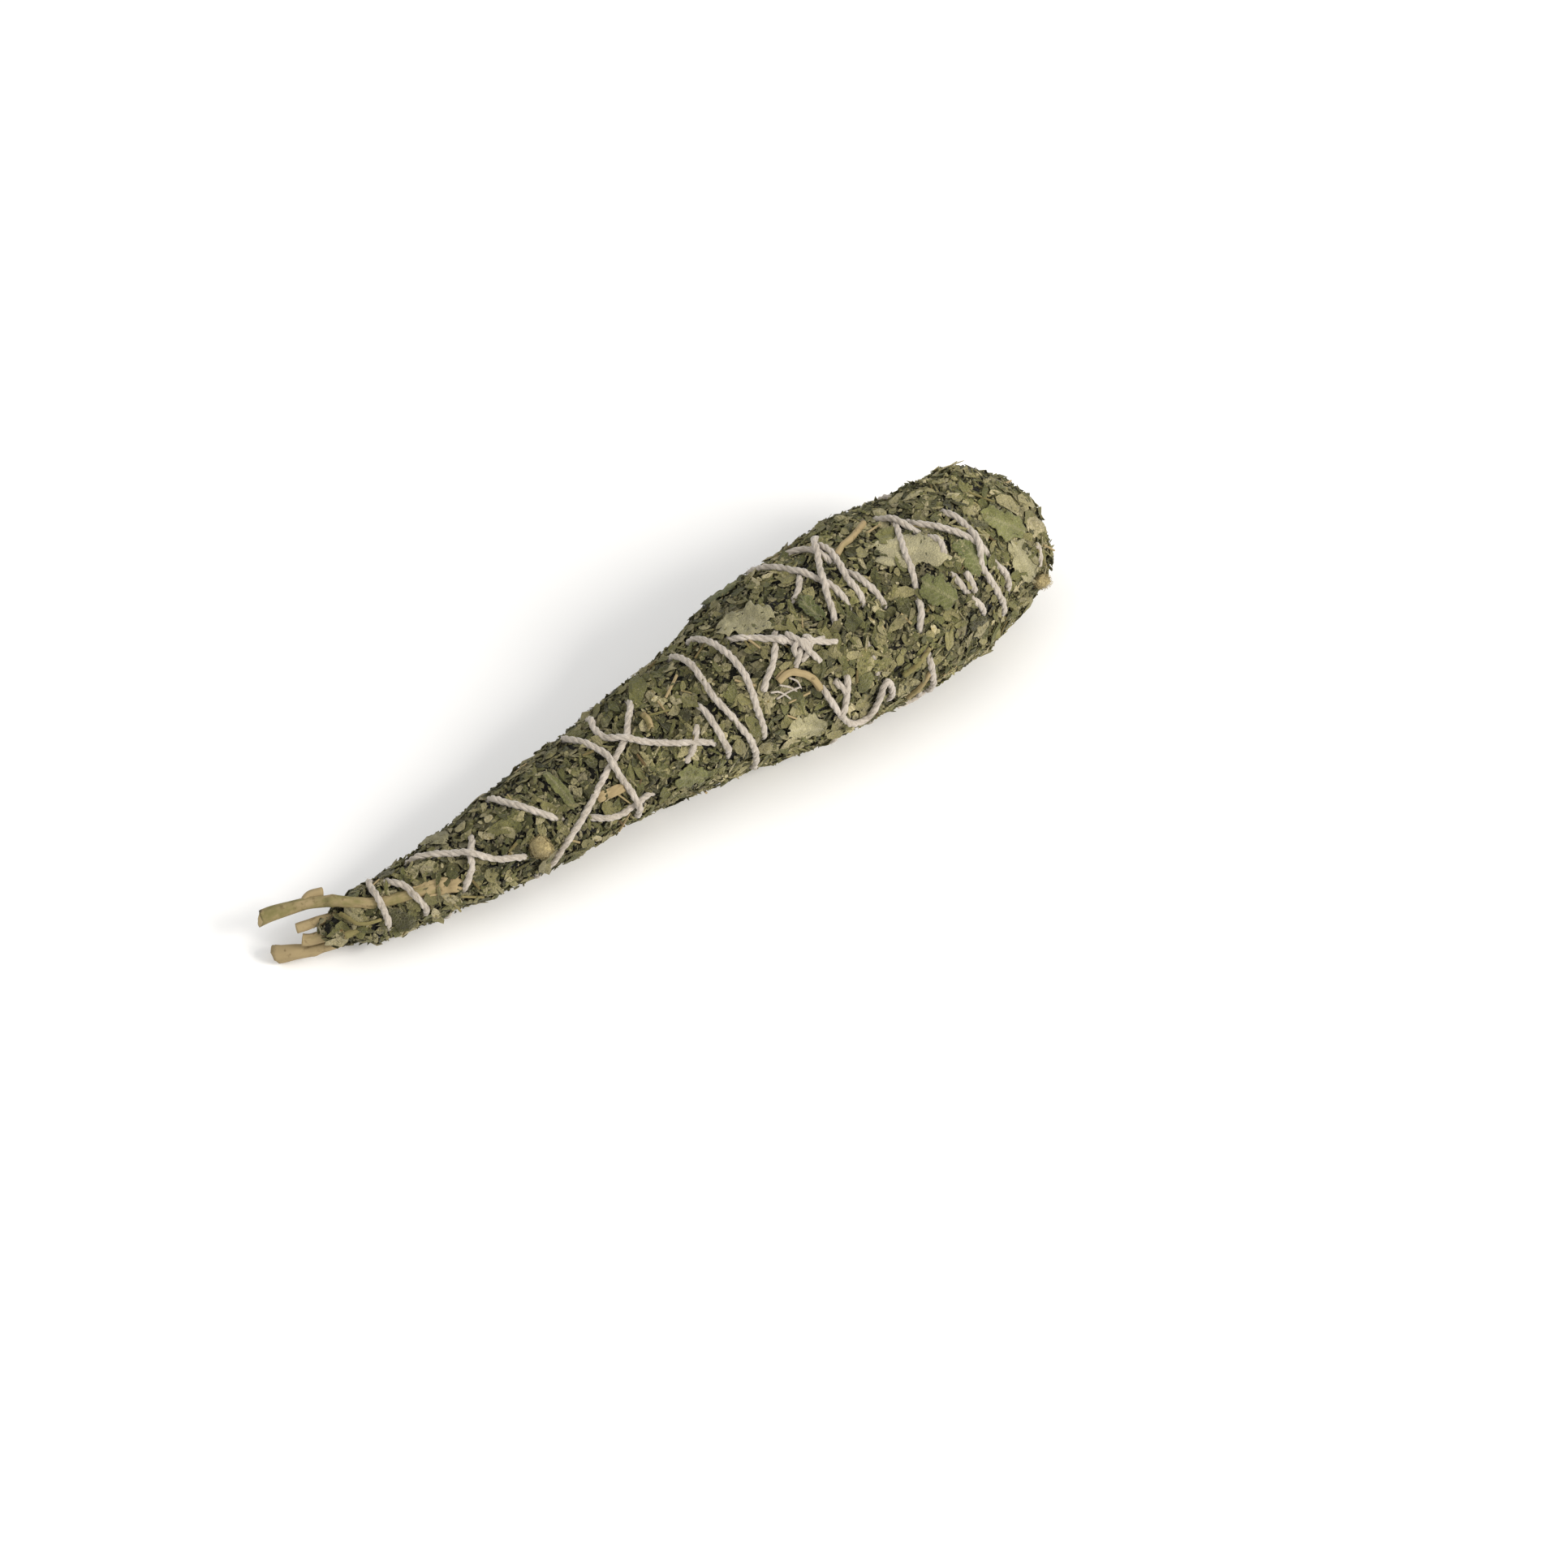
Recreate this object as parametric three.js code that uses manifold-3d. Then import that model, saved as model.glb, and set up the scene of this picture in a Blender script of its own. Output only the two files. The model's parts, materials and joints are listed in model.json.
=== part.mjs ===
// A bundle of dried leafy herb stems, wound with cotton twine, lying on its fat side.
// Millimetres, +Z up, +X from the cut stems to the blunt leafy end, -Y towards the knot's side.
// A place on the bundle is a station along it, an angle round it and a lift off the pack's skin.
// The angle is 0 on top and 90 degrees on the knot's side; it goes on past 360 as the twine winds.
import * as THREE from 'three';
import { mergeVertices } from 'three/addons/utils/BufferGeometryUtils.js';
import Module from 'manifold-3d';

const wasm = await Module();
wasm.setup();

// ---------- driving dimensions ----------
const BUNDLE_LENGTH = 187; // the ruler of stations, from the stem ends to the leafy end
const STATIONS = 187; // stations on that ruler
const BELLY_RADIUS = 19.2; // the pressed pack at its fattest
const NECK_RADIUS = 5.0; // the pack where the stems come out
const PACK_START = 18.5; // stations
const PACK_END = 185.6;
const BELLY_STATION = 148;
const SETTLE = 1.2; // how far the belly is pressed flat by its own weight
const LUMP = 0.45; // height of the pack's lumps
const PACK_SIDES = 32;
const PACK_ROWS = 34;

const TWINE_DIAMETER = 2.0;
const TWINE_SIDES = 6;
const GAP = 0.3; // between neighbours
const LAY_ALLOWANCE = 0.4; // twine's extra height, for its straight steps round the pack
const CROSSING_SLOPE = 0.45; // steepest climb where one pass rides over another

const LEAF_THICKNESS = 0.5;
const LEAF_LIFT = 0.45;
const STEM_CLEARANCE = 0.3;
const MAIN_STEM_DIAMETER = 0.48 * NECK_RADIUS;
const CUT_STEM_DIAMETER = 0.46 * NECK_RADIUS;
const FOOT_STEM_DIAMETER = 0.48 * NECK_RADIUS;
const TWIG_DIAMETER = 1.3;

// The pack's radius: share of the way from neck to belly, then share of the belly.
const TAPER = [[0, 0], [20, 0], [34, 0.105], [48, 0.245], [62, 0.32], [76, 0.395], [90, 0.51],
  [103, 0.675], [110, 0.8], [117, 0.88], [131, 0.965], [BELLY_STATION, 1]];
const CAP = [[BELLY_STATION, 1], [158, 0.955], [165, 0.93], [172, 0.88], [178, 0.77], [182, 0.63],
  [184.4, 0.4], [PACK_END, 0]];
// How far the bundle's line bends sideways, in mm.
const BEND = [[0, -3.2], [20, -4.4], [40, -5.8], [60, -4.5], [80, -2.8], [102, -2.6], [115, -0.9],
  [130, 0.3], [150, 0.3], [170, 2.4], [187, 2.5]];

// ---------- the pack's shape ----------
const rad = THREE.MathUtils.degToRad;
const along = (station) => (station * BUNDLE_LENGTH) / STATIONS;

// A smooth curve through a table of [place, value] rows.
function smooth(table, x) {
  const last = table.length - 1;
  const at = THREE.MathUtils.clamp(x, table[0][0], table[last][0]);
  let i = 0;
  while (i < last - 1 && table[i + 1][0] < at) i += 1;
  const slope = (k) => {
    const a = table[Math.max(k - 1, 0)];
    const b = table[Math.min(k + 1, last)];
    return (b[1] - a[1]) / (b[0] - a[0]);
  };
  const [[x0, y0], [x1, y1]] = [table[i], table[i + 1]];
  const step = x1 - x0;
  const t = (at - x0) / step;
  const [a, b] = [slope(i) * step, slope(i + 1) * step];
  return y0 + t * (a + t * (3 * (y1 - y0) - 2 * a - b + t * (2 * (y0 - y1) + a + b)));
}

function roundRadius(station) {
  if (station > BELLY_STATION) return BELLY_RADIUS * Math.max(smooth(CAP, station), 0);
  return NECK_RADIUS + (BELLY_RADIUS - NECK_RADIUS) * smooth(TAPER, station);
}

// The pack's centre line stands just clear of the floor at the neck and rests at the belly.
function axisAt(station) {
  const underNeck = 1.5 * TWINE_DIAMETER;
  const restHeight = BELLY_RADIUS - SETTLE;
  const height = station > BELLY_STATION ? restHeight
    : Math.min(restHeight, roundRadius(station) + underNeck);
  return new THREE.Vector3(along(station), smooth(BEND, station), height);
}

function packRadius(station, angle) {
  const radius = roundRadius(station);
  const a = rad(angle);
  const waves = Math.sin(3 * a + 0.11 * station + 0.8) + 0.8 * Math.sin(5 * a - 0.17 * station)
    + 0.6 * Math.sin(2 * a + 0.23 * station + 2);
  return radius + (LUMP * waves * radius) / BELLY_RADIUS;
}

// The point at a station and angle, lifted off the pack's skin.
function skinPoint(station, angle, lift = 0) {
  const radius = packRadius(station, angle) + lift;
  const a = rad(angle);
  const out = new THREE.Vector3(0, -Math.sin(a) * radius, Math.cos(a) * radius);
  return axisAt(station).add(out);
}

// ---------- solids ----------
function toManifold(geometry) {
  const bare = geometry.clone();
  bare.deleteAttribute('normal');
  bare.deleteAttribute('uv');
  const merged = mergeVertices(bare, 1e-4);
  return new wasm.Manifold(new wasm.Mesh({
    numProp: 3,
    vertProperties: new Float32Array(merged.attributes.position.array),
    triVerts: new Uint32Array(merged.index.array),
  }));
}

function fromManifold(solid) {
  const mesh = solid.getMesh();
  const geometry = new THREE.BufferGeometry();
  geometry.setAttribute('position', new THREE.BufferAttribute(mesh.vertProperties, 3));
  geometry.setIndex(new THREE.BufferAttribute(mesh.triVerts, 1));
  return geometry;
}

// A path whose steps are exactly the points given.
class StepPath extends THREE.Curve {
  constructor(points) {
    super();
    this.points = points;
  }

  getPoint(t, target = new THREE.Vector3()) {
    const place = t * (this.points.length - 1);
    const i = Math.min(Math.floor(place), this.points.length - 2);
    return target.lerpVectors(this.points[i], this.points[i + 1], place - i);
  }

  getPointAt(t, target) {
    return this.getPoint(t, target);
  }

  getTangent(t, target = new THREE.Vector3()) {
    const last = this.points.length - 1;
    const i = Math.round(t * last);
    const before = this.points[Math.max(i - 1, 0)];
    const after = this.points[Math.min(i + 1, last)];
    return target.subVectors(after, before).normalize();
  }

  getTangentAt(t, target) {
    return this.getTangent(t, target);
  }
}

// A solid rod along points; width(share) scales its section, slant leans its first cut.
function rod(points, diameter, sides, width = () => 1, slant = 0) {
  const section = new THREE.Shape();
  for (let i = 0; i < sides; i += 1) {
    const a = (2 * Math.PI * i) / sides;
    const corner = [Math.cos(a) * diameter / 2, Math.sin(a) * diameter / 2];
    if (i === 0) section.moveTo(...corner);
    else section.lineTo(...corner);
  }
  const steps = points.length - 1;
  const geometry = new THREE.ExtrudeGeometry(section, {
    steps, extrudePath: new StepPath(points), curveSegments: 1,
  });
  const place = geometry.attributes.position;
  const vertex = new THREE.Vector3();
  const start = points[0].clone().sub(points[1]).normalize();
  for (let i = 0; i < place.count; i += 1) {
    vertex.fromBufferAttribute(place, i);
    let ring = 0;
    points.forEach((p, k) => {
      if (p.distanceToSquared(vertex) < points[ring].distanceToSquared(vertex)) ring = k;
    });
    const offset = vertex.clone().sub(points[ring]).multiplyScalar(width(ring / steps));
    vertex.copy(points[ring]).add(offset);
    if (ring === 0) vertex.addScaledVector(start, slant * offset.z);
    place.setXYZ(i, vertex.x, vertex.y, vertex.z);
  }
  return geometry;
}

// Smooth points between hand-set [station, angle, lift] places.
function routePoints(route, spacing) {
  const scale = 0.3; // mm per degree, so that both directions weigh alike
  const nodes = route.map(([s, a, lift = 0]) => new THREE.Vector3(s, a * scale, lift));
  const curve = new THREE.CatmullRomCurve3(nodes, false, 'centripetal');
  const count = Math.max(2, Math.ceil(curve.getLength() / spacing));
  return curve.getSpacedPoints(count).map((p) => [p.x, p.y / scale, p.z]);
}

// ---------- materials ----------
const finish = (color, roughness) => new THREE.MeshStandardMaterial({ color, roughness, metalness: 0 });
const LEAF_MIX = finish(0x7d8059, 0.95);
const LEAF_GREEN = finish(0x5f6d45, 0.9);
const LEAF_PALE = finish(0xb0ab86, 0.9);
const STEM_WOOD = finish(0xa5966b, 0.8);
const COTTON = finish(0xd8cfc4, 0.9);

const bundle = new THREE.Group();

function addPiece(name, geometry, material) {
  const mesh = new THREE.Mesh(geometry, material);
  mesh.name = name;
  bundle.add(mesh);
}

// ---------- twine ----------
// Each pass is laid on the pack, and rides over the passes laid before it.
const TWINE_LIFT = GAP + LAY_ALLOWANCE + TWINE_DIAMETER / 2;
const LAY_STEP = 1; // mm between the places that are laid
const TWINE_SAG = 0.2; // how far a straight step may cut a curve
const TWINE_PITCH = TWINE_DIAMETER + GAP + TWINE_SAG; // centre to centre where passes cross
const LONGEST_STEP = 6;
const FLOOR_LIFT = TWINE_DIAMETER / 2 + 0.15;

// From the frayed end at the knot's foot, over the top and the leafy end, back to the knot.
const UPPER_ROUTE = [
  [107.2, 46], [108.4, 41], [110, 37], [112, 31], [115, 18], [118, 9], [124, 3], [127, -7],
  [130, -25], [133, -60], [139, -98], [142.3, -125], [143, -170], [143.2, -215], [145.4, -250],
  [144, -275], [144, -302], [146, -316], [147, -331], [148, -345], [150, -360], [152, -376],
  [152.6, -400], [153.2, -430], [156, -460], [160, -485], [166.5, -525], [169.5, -570], [170, -610],
  [168.6, -646], [168, -661], [166, -673], [164, -687], [160, -704], [156.4, -717], [154.6, -724],
  [155, -740], [157.5, -770], [159.5, -800], [160.5, -840], [161.5, -900], [164.5, -940],
  [166.5, -984], [165.8, -1002], [164, -1017], [162.3, -1035], [163.8, -1053], [163, -1069],
  [162, -1076], [161.5, -1095], [160, -1115], [157, -1145], [154.3, -1175], [153.6, -1210],
  [154.5, -1260], [156.5, -1300], [159, -1335], [160, -1366], [158, -1380], [155.7, -1394],
  [155, -1408], [156.3, -1422], [154.6, -1434], [152.6, -1444], [150.2, -1462], [149, -1500],
  [149, -1560], [147.5, -1620], [146.6, -1652], [143.4, -1686], [140.5, -1730], [139, -1766], [137.5, -1779],
  [136, -1790], [134, -1803], [132, -1819], [128, -1834], [126, -1870], [125, -1930],
  [125.5, -1990], [129, -2050], [132.5, -2095], [135.2, -2133], [134.4, -2147], [135, -2167],
  [134, -2185], [132.5, -2230], [132, -2290], [132, -2350], [132.5, -2410], [132.3, -2460],
  [131.8, -2495], [130.5, -2509], [126.5, -2529], [124, -2546], [122, -2560], [121, -2620],
  [121, -2680], [122, -2740], [125, -2790], [126.5, -2830], [128, -2856], [130, -2877],
  [132, -2888], [134, -2900], [138, -2915], [140.5, -2940], [140, -3000], [138, -3060],
  [139, -3100], [139.6, -3135], [139.6, -3158], [138.6, -3170], [136.6, -3175], [134.8, -3168],
  [133.6, -3159, 0.6], [131.5, -3151, 1.4], [129, -3145, 2], [126, -3142, 2], [123.8, -3146, 1.6],
  [122, -3153, 1], [120, -3164, 0.4], [119, -3174], [118.7, -3184], [118.7, -3192],
];
// From the tucked end down to the stems, and back up in closer turns to the knot.
const LOWER_ROUTE = [
  [92, 128], [90, 190], [87, 250], [85, 310], [84, 350], [82, 360], [79, 377], [72, 395],
  [66, 415], [60, 437], [55, 470], [50.5, 510], [47.5, 550], [45.5, 610], [43.5, 680],
  [42, 729], [40, 746], [39, 763], [37, 782], [34.5, 830], [33, 880], [31.5, 920], [28, 960],
  [23, 1020], [21, 1052], [20.2, 1086], [20.2, 1148], [20.7, 1200], [22, 1280], [23.5, 1380],
  [24.2, 1437], [26, 1460], [26.6, 1479], [28, 1508], [28, 1570], [28.3, 1640], [29, 1700],
  [29.5, 1750], [31, 1777], [36, 1805], [40, 1827], [44, 1849], [50, 1869], [52.5, 1900],
  [53, 1940], [52.5, 1990], [51, 2060], [50, 2133], [51, 2154], [55, 2185], [60, 2212],
  [67, 2233], [72, 2242], [78, 2240], [82.5, 2256], [84.5, 2290], [82, 2360], [76, 2430],
  [71, 2467], [70, 2490], [72, 2519], [73.6, 2540], [73.8, 2555], [75.4, 2585], [76, 2615],
  [76.5, 2670], [76.5, 2740], [75.8, 2800], [76.5, 2848], [75.2, 2868], [75.6, 2884],
  [80.5, 2905], [86, 2922], [94, 2940], [97.5, 2957], [100.3, 2990], [100.7, 3040], [100.3, 3090],
  [98, 3140], [94, 3185], [93, 3215], [93.5, 3245], [95, 3271], [96, 3300], [97, 3317],
  [97.6, 3360], [97.2, 3440], [96.5, 3520], [97, 3566], [98, 3590], [98, 3631], [100, 3655],
  [101.5, 3673], [103, 3698], [104.2, 3740], [104.2, 3800], [103, 3860], [101.8, 3924],
  [102.8, 3937], [104, 3962], [105, 3990], [104.6, 4017], [105, 4038], [106.5, 4062],
  [108, 4085], [108.3, 4130], [108, 4200], [107.5, 4250], [107, 4290], [106.6, 4305],
  [106.8, 4320], [108.3, 4327], [110, 4332], [112, 4338], [114, 4343], [115.4, 4347],
];

// The dense places of one length, each with its height over the pack's skin.
function layTwine(route, laid) {
  const dense = routePoints(route, LAY_STEP).map(([station, angle, lift]) => ({
    station, angle, lift, base: skinPoint(station, angle, TWINE_LIFT), rise: lift,
  }));
  const skip = Math.ceil((4 * TWINE_DIAMETER) / LAY_STEP);
  dense.forEach((here, i) => {
    const below = laid.concat(dense.slice(0, Math.max(i - skip, 0)));
    below.forEach((other) => {
      const apart = here.base.distanceTo(other.base);
      if (apart >= TWINE_PITCH) return;
      const over = other.rise + Math.sqrt(TWINE_PITCH ** 2 - apart ** 2);
      here.rise = Math.max(here.rise, over);
    });
    const before = dense[i - 1];
    if (before) {
      const run = before.base.distanceTo(here.base) * CROSSING_SLOPE;
      here.rise = Math.max(here.rise, before.rise - run);
    }
  });
  for (let i = dense.length - 2; i >= 0; i -= 1) {
    const run = dense[i].base.distanceTo(dense[i + 1].base) * CROSSING_SLOPE;
    dense[i].rise = Math.max(dense[i].rise, dense[i + 1].rise - run);
  }
  dense.forEach((here) => {
    here.point = skinPoint(here.station, here.angle, TWINE_LIFT + here.rise);
    here.pressed = here.point.z < FLOOR_LIFT;
    if (here.pressed) here.point.z = FLOOR_LIFT;
  });
  return dense;
}

// The fewest straight steps that stay close to the dense places.
function fewSteps(dense) {
  const kept = [dense[0]];
  const chord = new THREE.Line3();
  const foot = new THREE.Vector3();
  let from = 0;
  while (from < dense.length - 1) {
    let to = from + 1;
    while (to + 1 < dense.length) {
      chord.set(dense[from].point, dense[to + 1].point);
      const strays = dense.slice(from + 1, to + 1).some(({ point }) => (
        chord.closestPointToPoint(point, true, foot).distanceTo(point) > TWINE_SAG));
      if (strays || chord.distance() > LONGEST_STEP) break;
      to += 1;
    }
    kept.push(dense[to]);
    from = to;
  }
  return kept;
}

const upperLaid = layTwine(UPPER_ROUTE, []);
const lowerLaid = layTwine(LOWER_ROUTE, upperLaid);
const twineLengths = { twine_upper: fewSteps(upperLaid), twine_lower: fewSteps(lowerLaid) };
Object.entries(twineLengths).forEach(([name, steps]) => {
  addPiece(name, rod(steps.map((step) => step.point), TWINE_DIAMETER, TWINE_SIDES), COTTON);
});

// The knot and its cut tails.
const KNOT = { station: 118.3, angle: 35, loop: 1.5, strand: 0.7 };

function knotGeometry({ station, angle, loop, strand }) {
  const geometry = new THREE.TorusKnotGeometry(loop, strand, 30, TWINE_SIDES);
  const foot = skinPoint(station, angle);
  const out = skinPoint(station, angle, 1).sub(foot);
  const thickness = loop / 2 + strand;
  const lift = GAP + LAY_ALLOWANCE + thickness;
  geometry.applyQuaternion(new THREE.Quaternion().setFromUnitVectors(new THREE.Vector3(0, 0, 1), out));
  return geometry.translate(...foot.addScaledVector(out, lift));
}
addPiece('twine_knot', knotGeometry(KNOT), COTTON);

// Tails, as [station, angle, lift of the centre over the skin in twine radii].
const SHORT_TWINE = {
  twine_tail_over: [[116.4, 24, 4.6], [117.5, 29, 5.2], [118.5, 35, 5.4], [119.6, 41, 5.1],
    [120.8, 47, 4.4], [121.6, 51, 3.2]],
  twine_tail_side: [[122.2, 38, 1.7], [123.8, 36.5, 1.75], [124.9, 34, 1.8]],
  twine_tail_foot: [[116.4, 44.5, 1.8], [115.4, 47.5, 1.7], [114.8, 51, 1.7]],
};
Object.entries(SHORT_TWINE).forEach(([name, route]) => {
  const points = routePoints(route, 1.5).map(([station, angle, lift]) => (
    skinPoint(station, angle, (lift * TWINE_DIAMETER) / 2)));
  addPiece(name, rod(points, TWINE_DIAMETER * 0.85, TWINE_SIDES), COTTON);
});

// ---------- stems ----------
// Outer stems are placed from the pack's skin, inner ones from its centre line.
const NECK_SCALE = NECK_RADIUS / 5; // the routes are drawn for a neck of radius 5
const fromSkin = ([station, angle, out]) => skinPoint(station, angle, out * NECK_SCALE);
const fromAxis = ([station, angle, radius]) => (
  skinPoint(station, angle, radius * NECK_SCALE - packRadius(station, angle)));
const STEM_STEP = 3;
const STEM_SIDES = 8;
const stemLine = (route, place) => routePoints(route, STEM_STEP).map(place);

const STEMS = [
  {
    name: 'stem_main',
    diameter: MAIN_STEM_DIAMETER,
    width: (share) => 1.35 - 0.5 * Math.min(share * 1.6, 1),
    slant: 0.9,
    route: [[-0.2, -82, 3.9], [3.5, -71, 3.1], [7, -60, 2.3], [11.3, -38, 0.7], [17, -3, -1.3],
      [21, 19, -1.3], [27, 47, -1.4]],
    place: fromSkin,
    side: [[7.6, -56, 1.9], [9.6, -55, 3.2], [12.2, -50, 2.9]],
  },
  {
    name: 'stem_foot',
    diameter: FOOT_STEM_DIAMETER,
    width: (share) => 1.5 - 0.55 * Math.min(share * 3, 1),
    slant: -0.5,
    route: [[0.4, 217, 2.5], [3.9, 203, 0.7], [8, 184, -0.6], [11.3, 172, -1.2], [18, 155, -1.5],
      [34, 150, -1.8]],
    place: fromSkin,
  },
  {
    name: 'stem_cut_upper',
    diameter: CUT_STEM_DIAMETER - 0.3,
    slant: 0.2,
    route: [[4.7, -81, 3.4], [10.6, -58, 2.5], [18, -75, 2.0], [34, -75, 2.0]],
    place: fromAxis,
  },
  {
    name: 'stem_cut_lower',
    diameter: CUT_STEM_DIAMETER + 0.2,
    slant: 0.15,
    route: [[5, -131, 2.5], [8, -160, 1.3], [11, -200, 0.6], [18, -266, 1.4], [36, -270, 1.4]],
    place: fromAxis,
  },
  {
    name: 'stem_inner_back',
    diameter: CUT_STEM_DIAMETER,
    slant: -0.3,
    route: [[11.5, 224, -0.9], [18, 230, -1.5], [32, 230, -1.7]],
    place: fromSkin,
  },
  {
    name: 'stem_inner_front',
    diameter: TWIG_DIAMETER + 0.2,
    route: [[11.5, 70, -1.0], [18, 74, -1.3], [24, 84, -1.5]],
    place: fromSkin,
  },
  {
    name: 'stem_inner_top',
    diameter: TWIG_DIAMETER,
    route: [[15.2, -50, -0.8], [18, -45, -1.1], [28, -40, -1.5]],
    place: fromSkin,
  },
];

function addStem({ name, diameter, width, slant, route, place, side }) {
  const stem = rod(stemLine(route, place), diameter, STEM_SIDES, width, slant);
  if (!side) {
    addPiece(name, stem, STEM_WOOD);
    return;
  }
  const knuckle = rod(stemLine(side, place), diameter * 0.8, STEM_SIDES);
  addPiece(name, fromManifold(toManifold(stem).add(toManifold(knuckle))), STEM_WOOD);
}
STEMS.forEach(addStem);

// The room that a stem takes inside the pack.
function stemChannel({ diameter, width, route, place }) {
  const points = stemLine(route, place);
  const end = points.at(-1);
  points.push(end.clone().add(end.clone().sub(points.at(-2)).setLength(STEM_CLEARANCE * 2)));
  return rod(points, diameter + 3 * STEM_CLEARANCE, STEM_SIDES, width);
}

// ---------- leaf pieces, bark and buds on the skin ----------
// A thin leaf wrapped on the skin. Heading 0 points to the leafy end, 90 round to the knot's side.
const LEAF_SCALE = BELLY_RADIUS / 19.2; // the leaves are drawn for a belly of radius 19.2
function leafGeometry(leaf) {
  const { at, heading, fold = 0, curl = 0, blunt = 0.25 } = leaf;
  const [length, width] = [leaf.length * LEAF_SCALE, leaf.width * LEAF_SCALE];
  const geometry = new THREE.BoxGeometry(length, width, LEAF_THICKNESS, 6, 2, 1);
  const place = geometry.attributes.position;
  const [c, s] = [Math.cos(rad(heading)), Math.sin(rad(heading))];
  for (let i = 0; i < place.count; i += 1) {
    const u = place.getX(i);
    const share = (2 * u) / length;
    const v = place.getY(i) * (blunt + (1 - blunt) * Math.sqrt(Math.max(1 - share * share, 0)));
    const bend = fold * Math.abs(v) + curl * share * share;
    const lift = LEAF_LIFT + LEAF_THICKNESS / 2 + place.getZ(i) + bend;
    const station = at[0] + (u * c + v * s) / along(1);
    const angle = at[1] + THREE.MathUtils.radToDeg((u * s - v * c) / packRadius(...at));
    const point = skinPoint(station, angle, lift);
    place.setXYZ(i, point.x, point.y, point.z);
  }
  return geometry;
}

const LEAVES = {
  leaf_pleated: { at: [112.2, -7], length: 8.5, width: 5, heading: 38, fold: 0.15, pale: true },
  leaf_shoulder_green: { at: [151, 35], length: 8.5, width: 5, heading: 84, curl: 0.5 },
  leaf_shoulder_pale: { at: [152.2, 13], length: 7, width: 3, heading: 80, fold: 0.2, pale: true },
  leaf_round: { at: [159.4, 36], length: 5.2, width: 3.6, heading: 80, blunt: 0.5 },
  leaf_curled: { at: [124, 18], length: 5.4, width: 3, heading: 72, fold: 0.3, curl: 0.8 },
  leaf_belly: { at: [114, 88], length: 8.5, width: 5.5, heading: 22, curl: 0.6, pale: true },
  leaf_low: { at: [88.5, 84], length: 7, width: 5, heading: 30, curl: 0.4 },
  leaf_blade: { at: [62.2, 22], length: 9, width: 2.2, heading: 78, blunt: 0.4 },
  leaf_neck: { at: [36.6, -42], length: 7.5, width: 4.2, heading: 65, pale: true },
  leaf_crown: { at: [174.5, 10], length: 10, width: 6, heading: 20, fold: 0.2 },
  leaf_crown_side: { at: [174, 60], length: 9, width: 6, heading: 70, curl: 0.5, pale: true },
  leaf_crown_back: { at: [173.5, 290], length: 11, width: 6.5, heading: 40 },
  leaf_crown_low: { at: [175, 215], length: 10, width: 6, heading: 60, pale: true },
  leaf_back_long: { at: [114.3, 262], length: 13, width: 6, heading: 75, fold: 0.12 },
  leaf_back_mid: { at: [60, 262], length: 11, width: 5, heading: 30, curl: 0.4, pale: true },
  leaf_back_upper: { at: [113.8, 312], length: 9, width: 5.5, heading: 50, curl: 0.5 },
  leaf_under: { at: [68.5, 200], length: 9, width: 5, heading: 60 },
};
Object.entries(LEAVES).forEach(([name, leaf]) => {
  addPiece(name, leafGeometry(leaf), leaf.pale ? LEAF_PALE : LEAF_GREEN);
});

const BARK = {
  bark_strip: { at: [32.7, 41], length: 6.4, width: 3.6, heading: 25, blunt: 0.8 },
  bark_chip: { at: [71.3, 58], length: 3.8, width: 2.2, heading: 55, blunt: 0.8 },
};
Object.entries(BARK).forEach(([name, bark]) => addPiece(name, leafGeometry(bark), STEM_WOOD));

// Loose bits of twig, as [station, angle, lift of the centre over the skin].
const TWIGS = {
  twig_petiole: [[13.8, 4, -2.2], [14.8, 34, -1.6], [16.2, 52, -0.2], [18.3, 60, 1.1]],
  twig_arch: [[110.6, 58, 1.3], [112.4, 53.5, 1.5], [114.6, 55, 1.6], [116.2, 60, 1.3]],
  twig_knee: [[138, -6, 1.2], [141, -14, 1.5], [143.6, -25, 1.6], [144.6, -12, 1.3]],
  twig_upright: [[84.6, 6, 1.1], [84.8, 14, 1.3], [84.4, 22, 1.1]],
  twig_side_a: [[149.4, 62, 1.1], [148.6, 80, 1.2], [148.4, 98, 1.1]],
  twig_side_b: [[152.6, 70, 1.1], [152.2, 84, 1.2], [152.8, 96, 1.1]],
  twig_back: [[89.6, 266, 1.1], [91.8, 258, 1.2], [93.2, 244, 1.2]],
};
Object.entries(TWIGS).forEach(([name, route]) => {
  const points = routePoints(route, 2).map((place) => skinPoint(...place));
  addPiece(name, rod(points, TWIG_DIAMETER, TWINE_SIDES, (share) => 1.1 - 0.3 * share), STEM_WOOD);
});

// Dry seed buds lying on the skin, blunt at one end.
const BUDS = {
  bud_tip: { at: [178.4, 93], length: 6, width: 2.6, heading: 50 },
  bud_middle: { at: [56.5, 70], length: 4.6, width: 2.4, heading: 20 },
};

function budGeometry({ at, length, width, heading }) {
  const geometry = new THREE.SphereGeometry(0.5, 10, 7);
  geometry.scale(length, width, width);
  const lift = LEAF_LIFT + width / 2;
  const centre = skinPoint(...at, lift);
  const ahead = skinPoint(at[0] + Math.cos(rad(heading)), at[1], lift);
  const round = skinPoint(at[0], at[1] + THREE.MathUtils.radToDeg(Math.sin(rad(heading)) / 18), lift);
  const way = ahead.sub(centre).add(round.sub(centre)).normalize();
  geometry.applyQuaternion(new THREE.Quaternion().setFromUnitVectors(new THREE.Vector3(1, 0, 0), way));
  return geometry.translate(...centre);
}
Object.entries(BUDS).forEach(([name, bud]) => addPiece(name, budGeometry(bud), LEAF_PALE));

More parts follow.
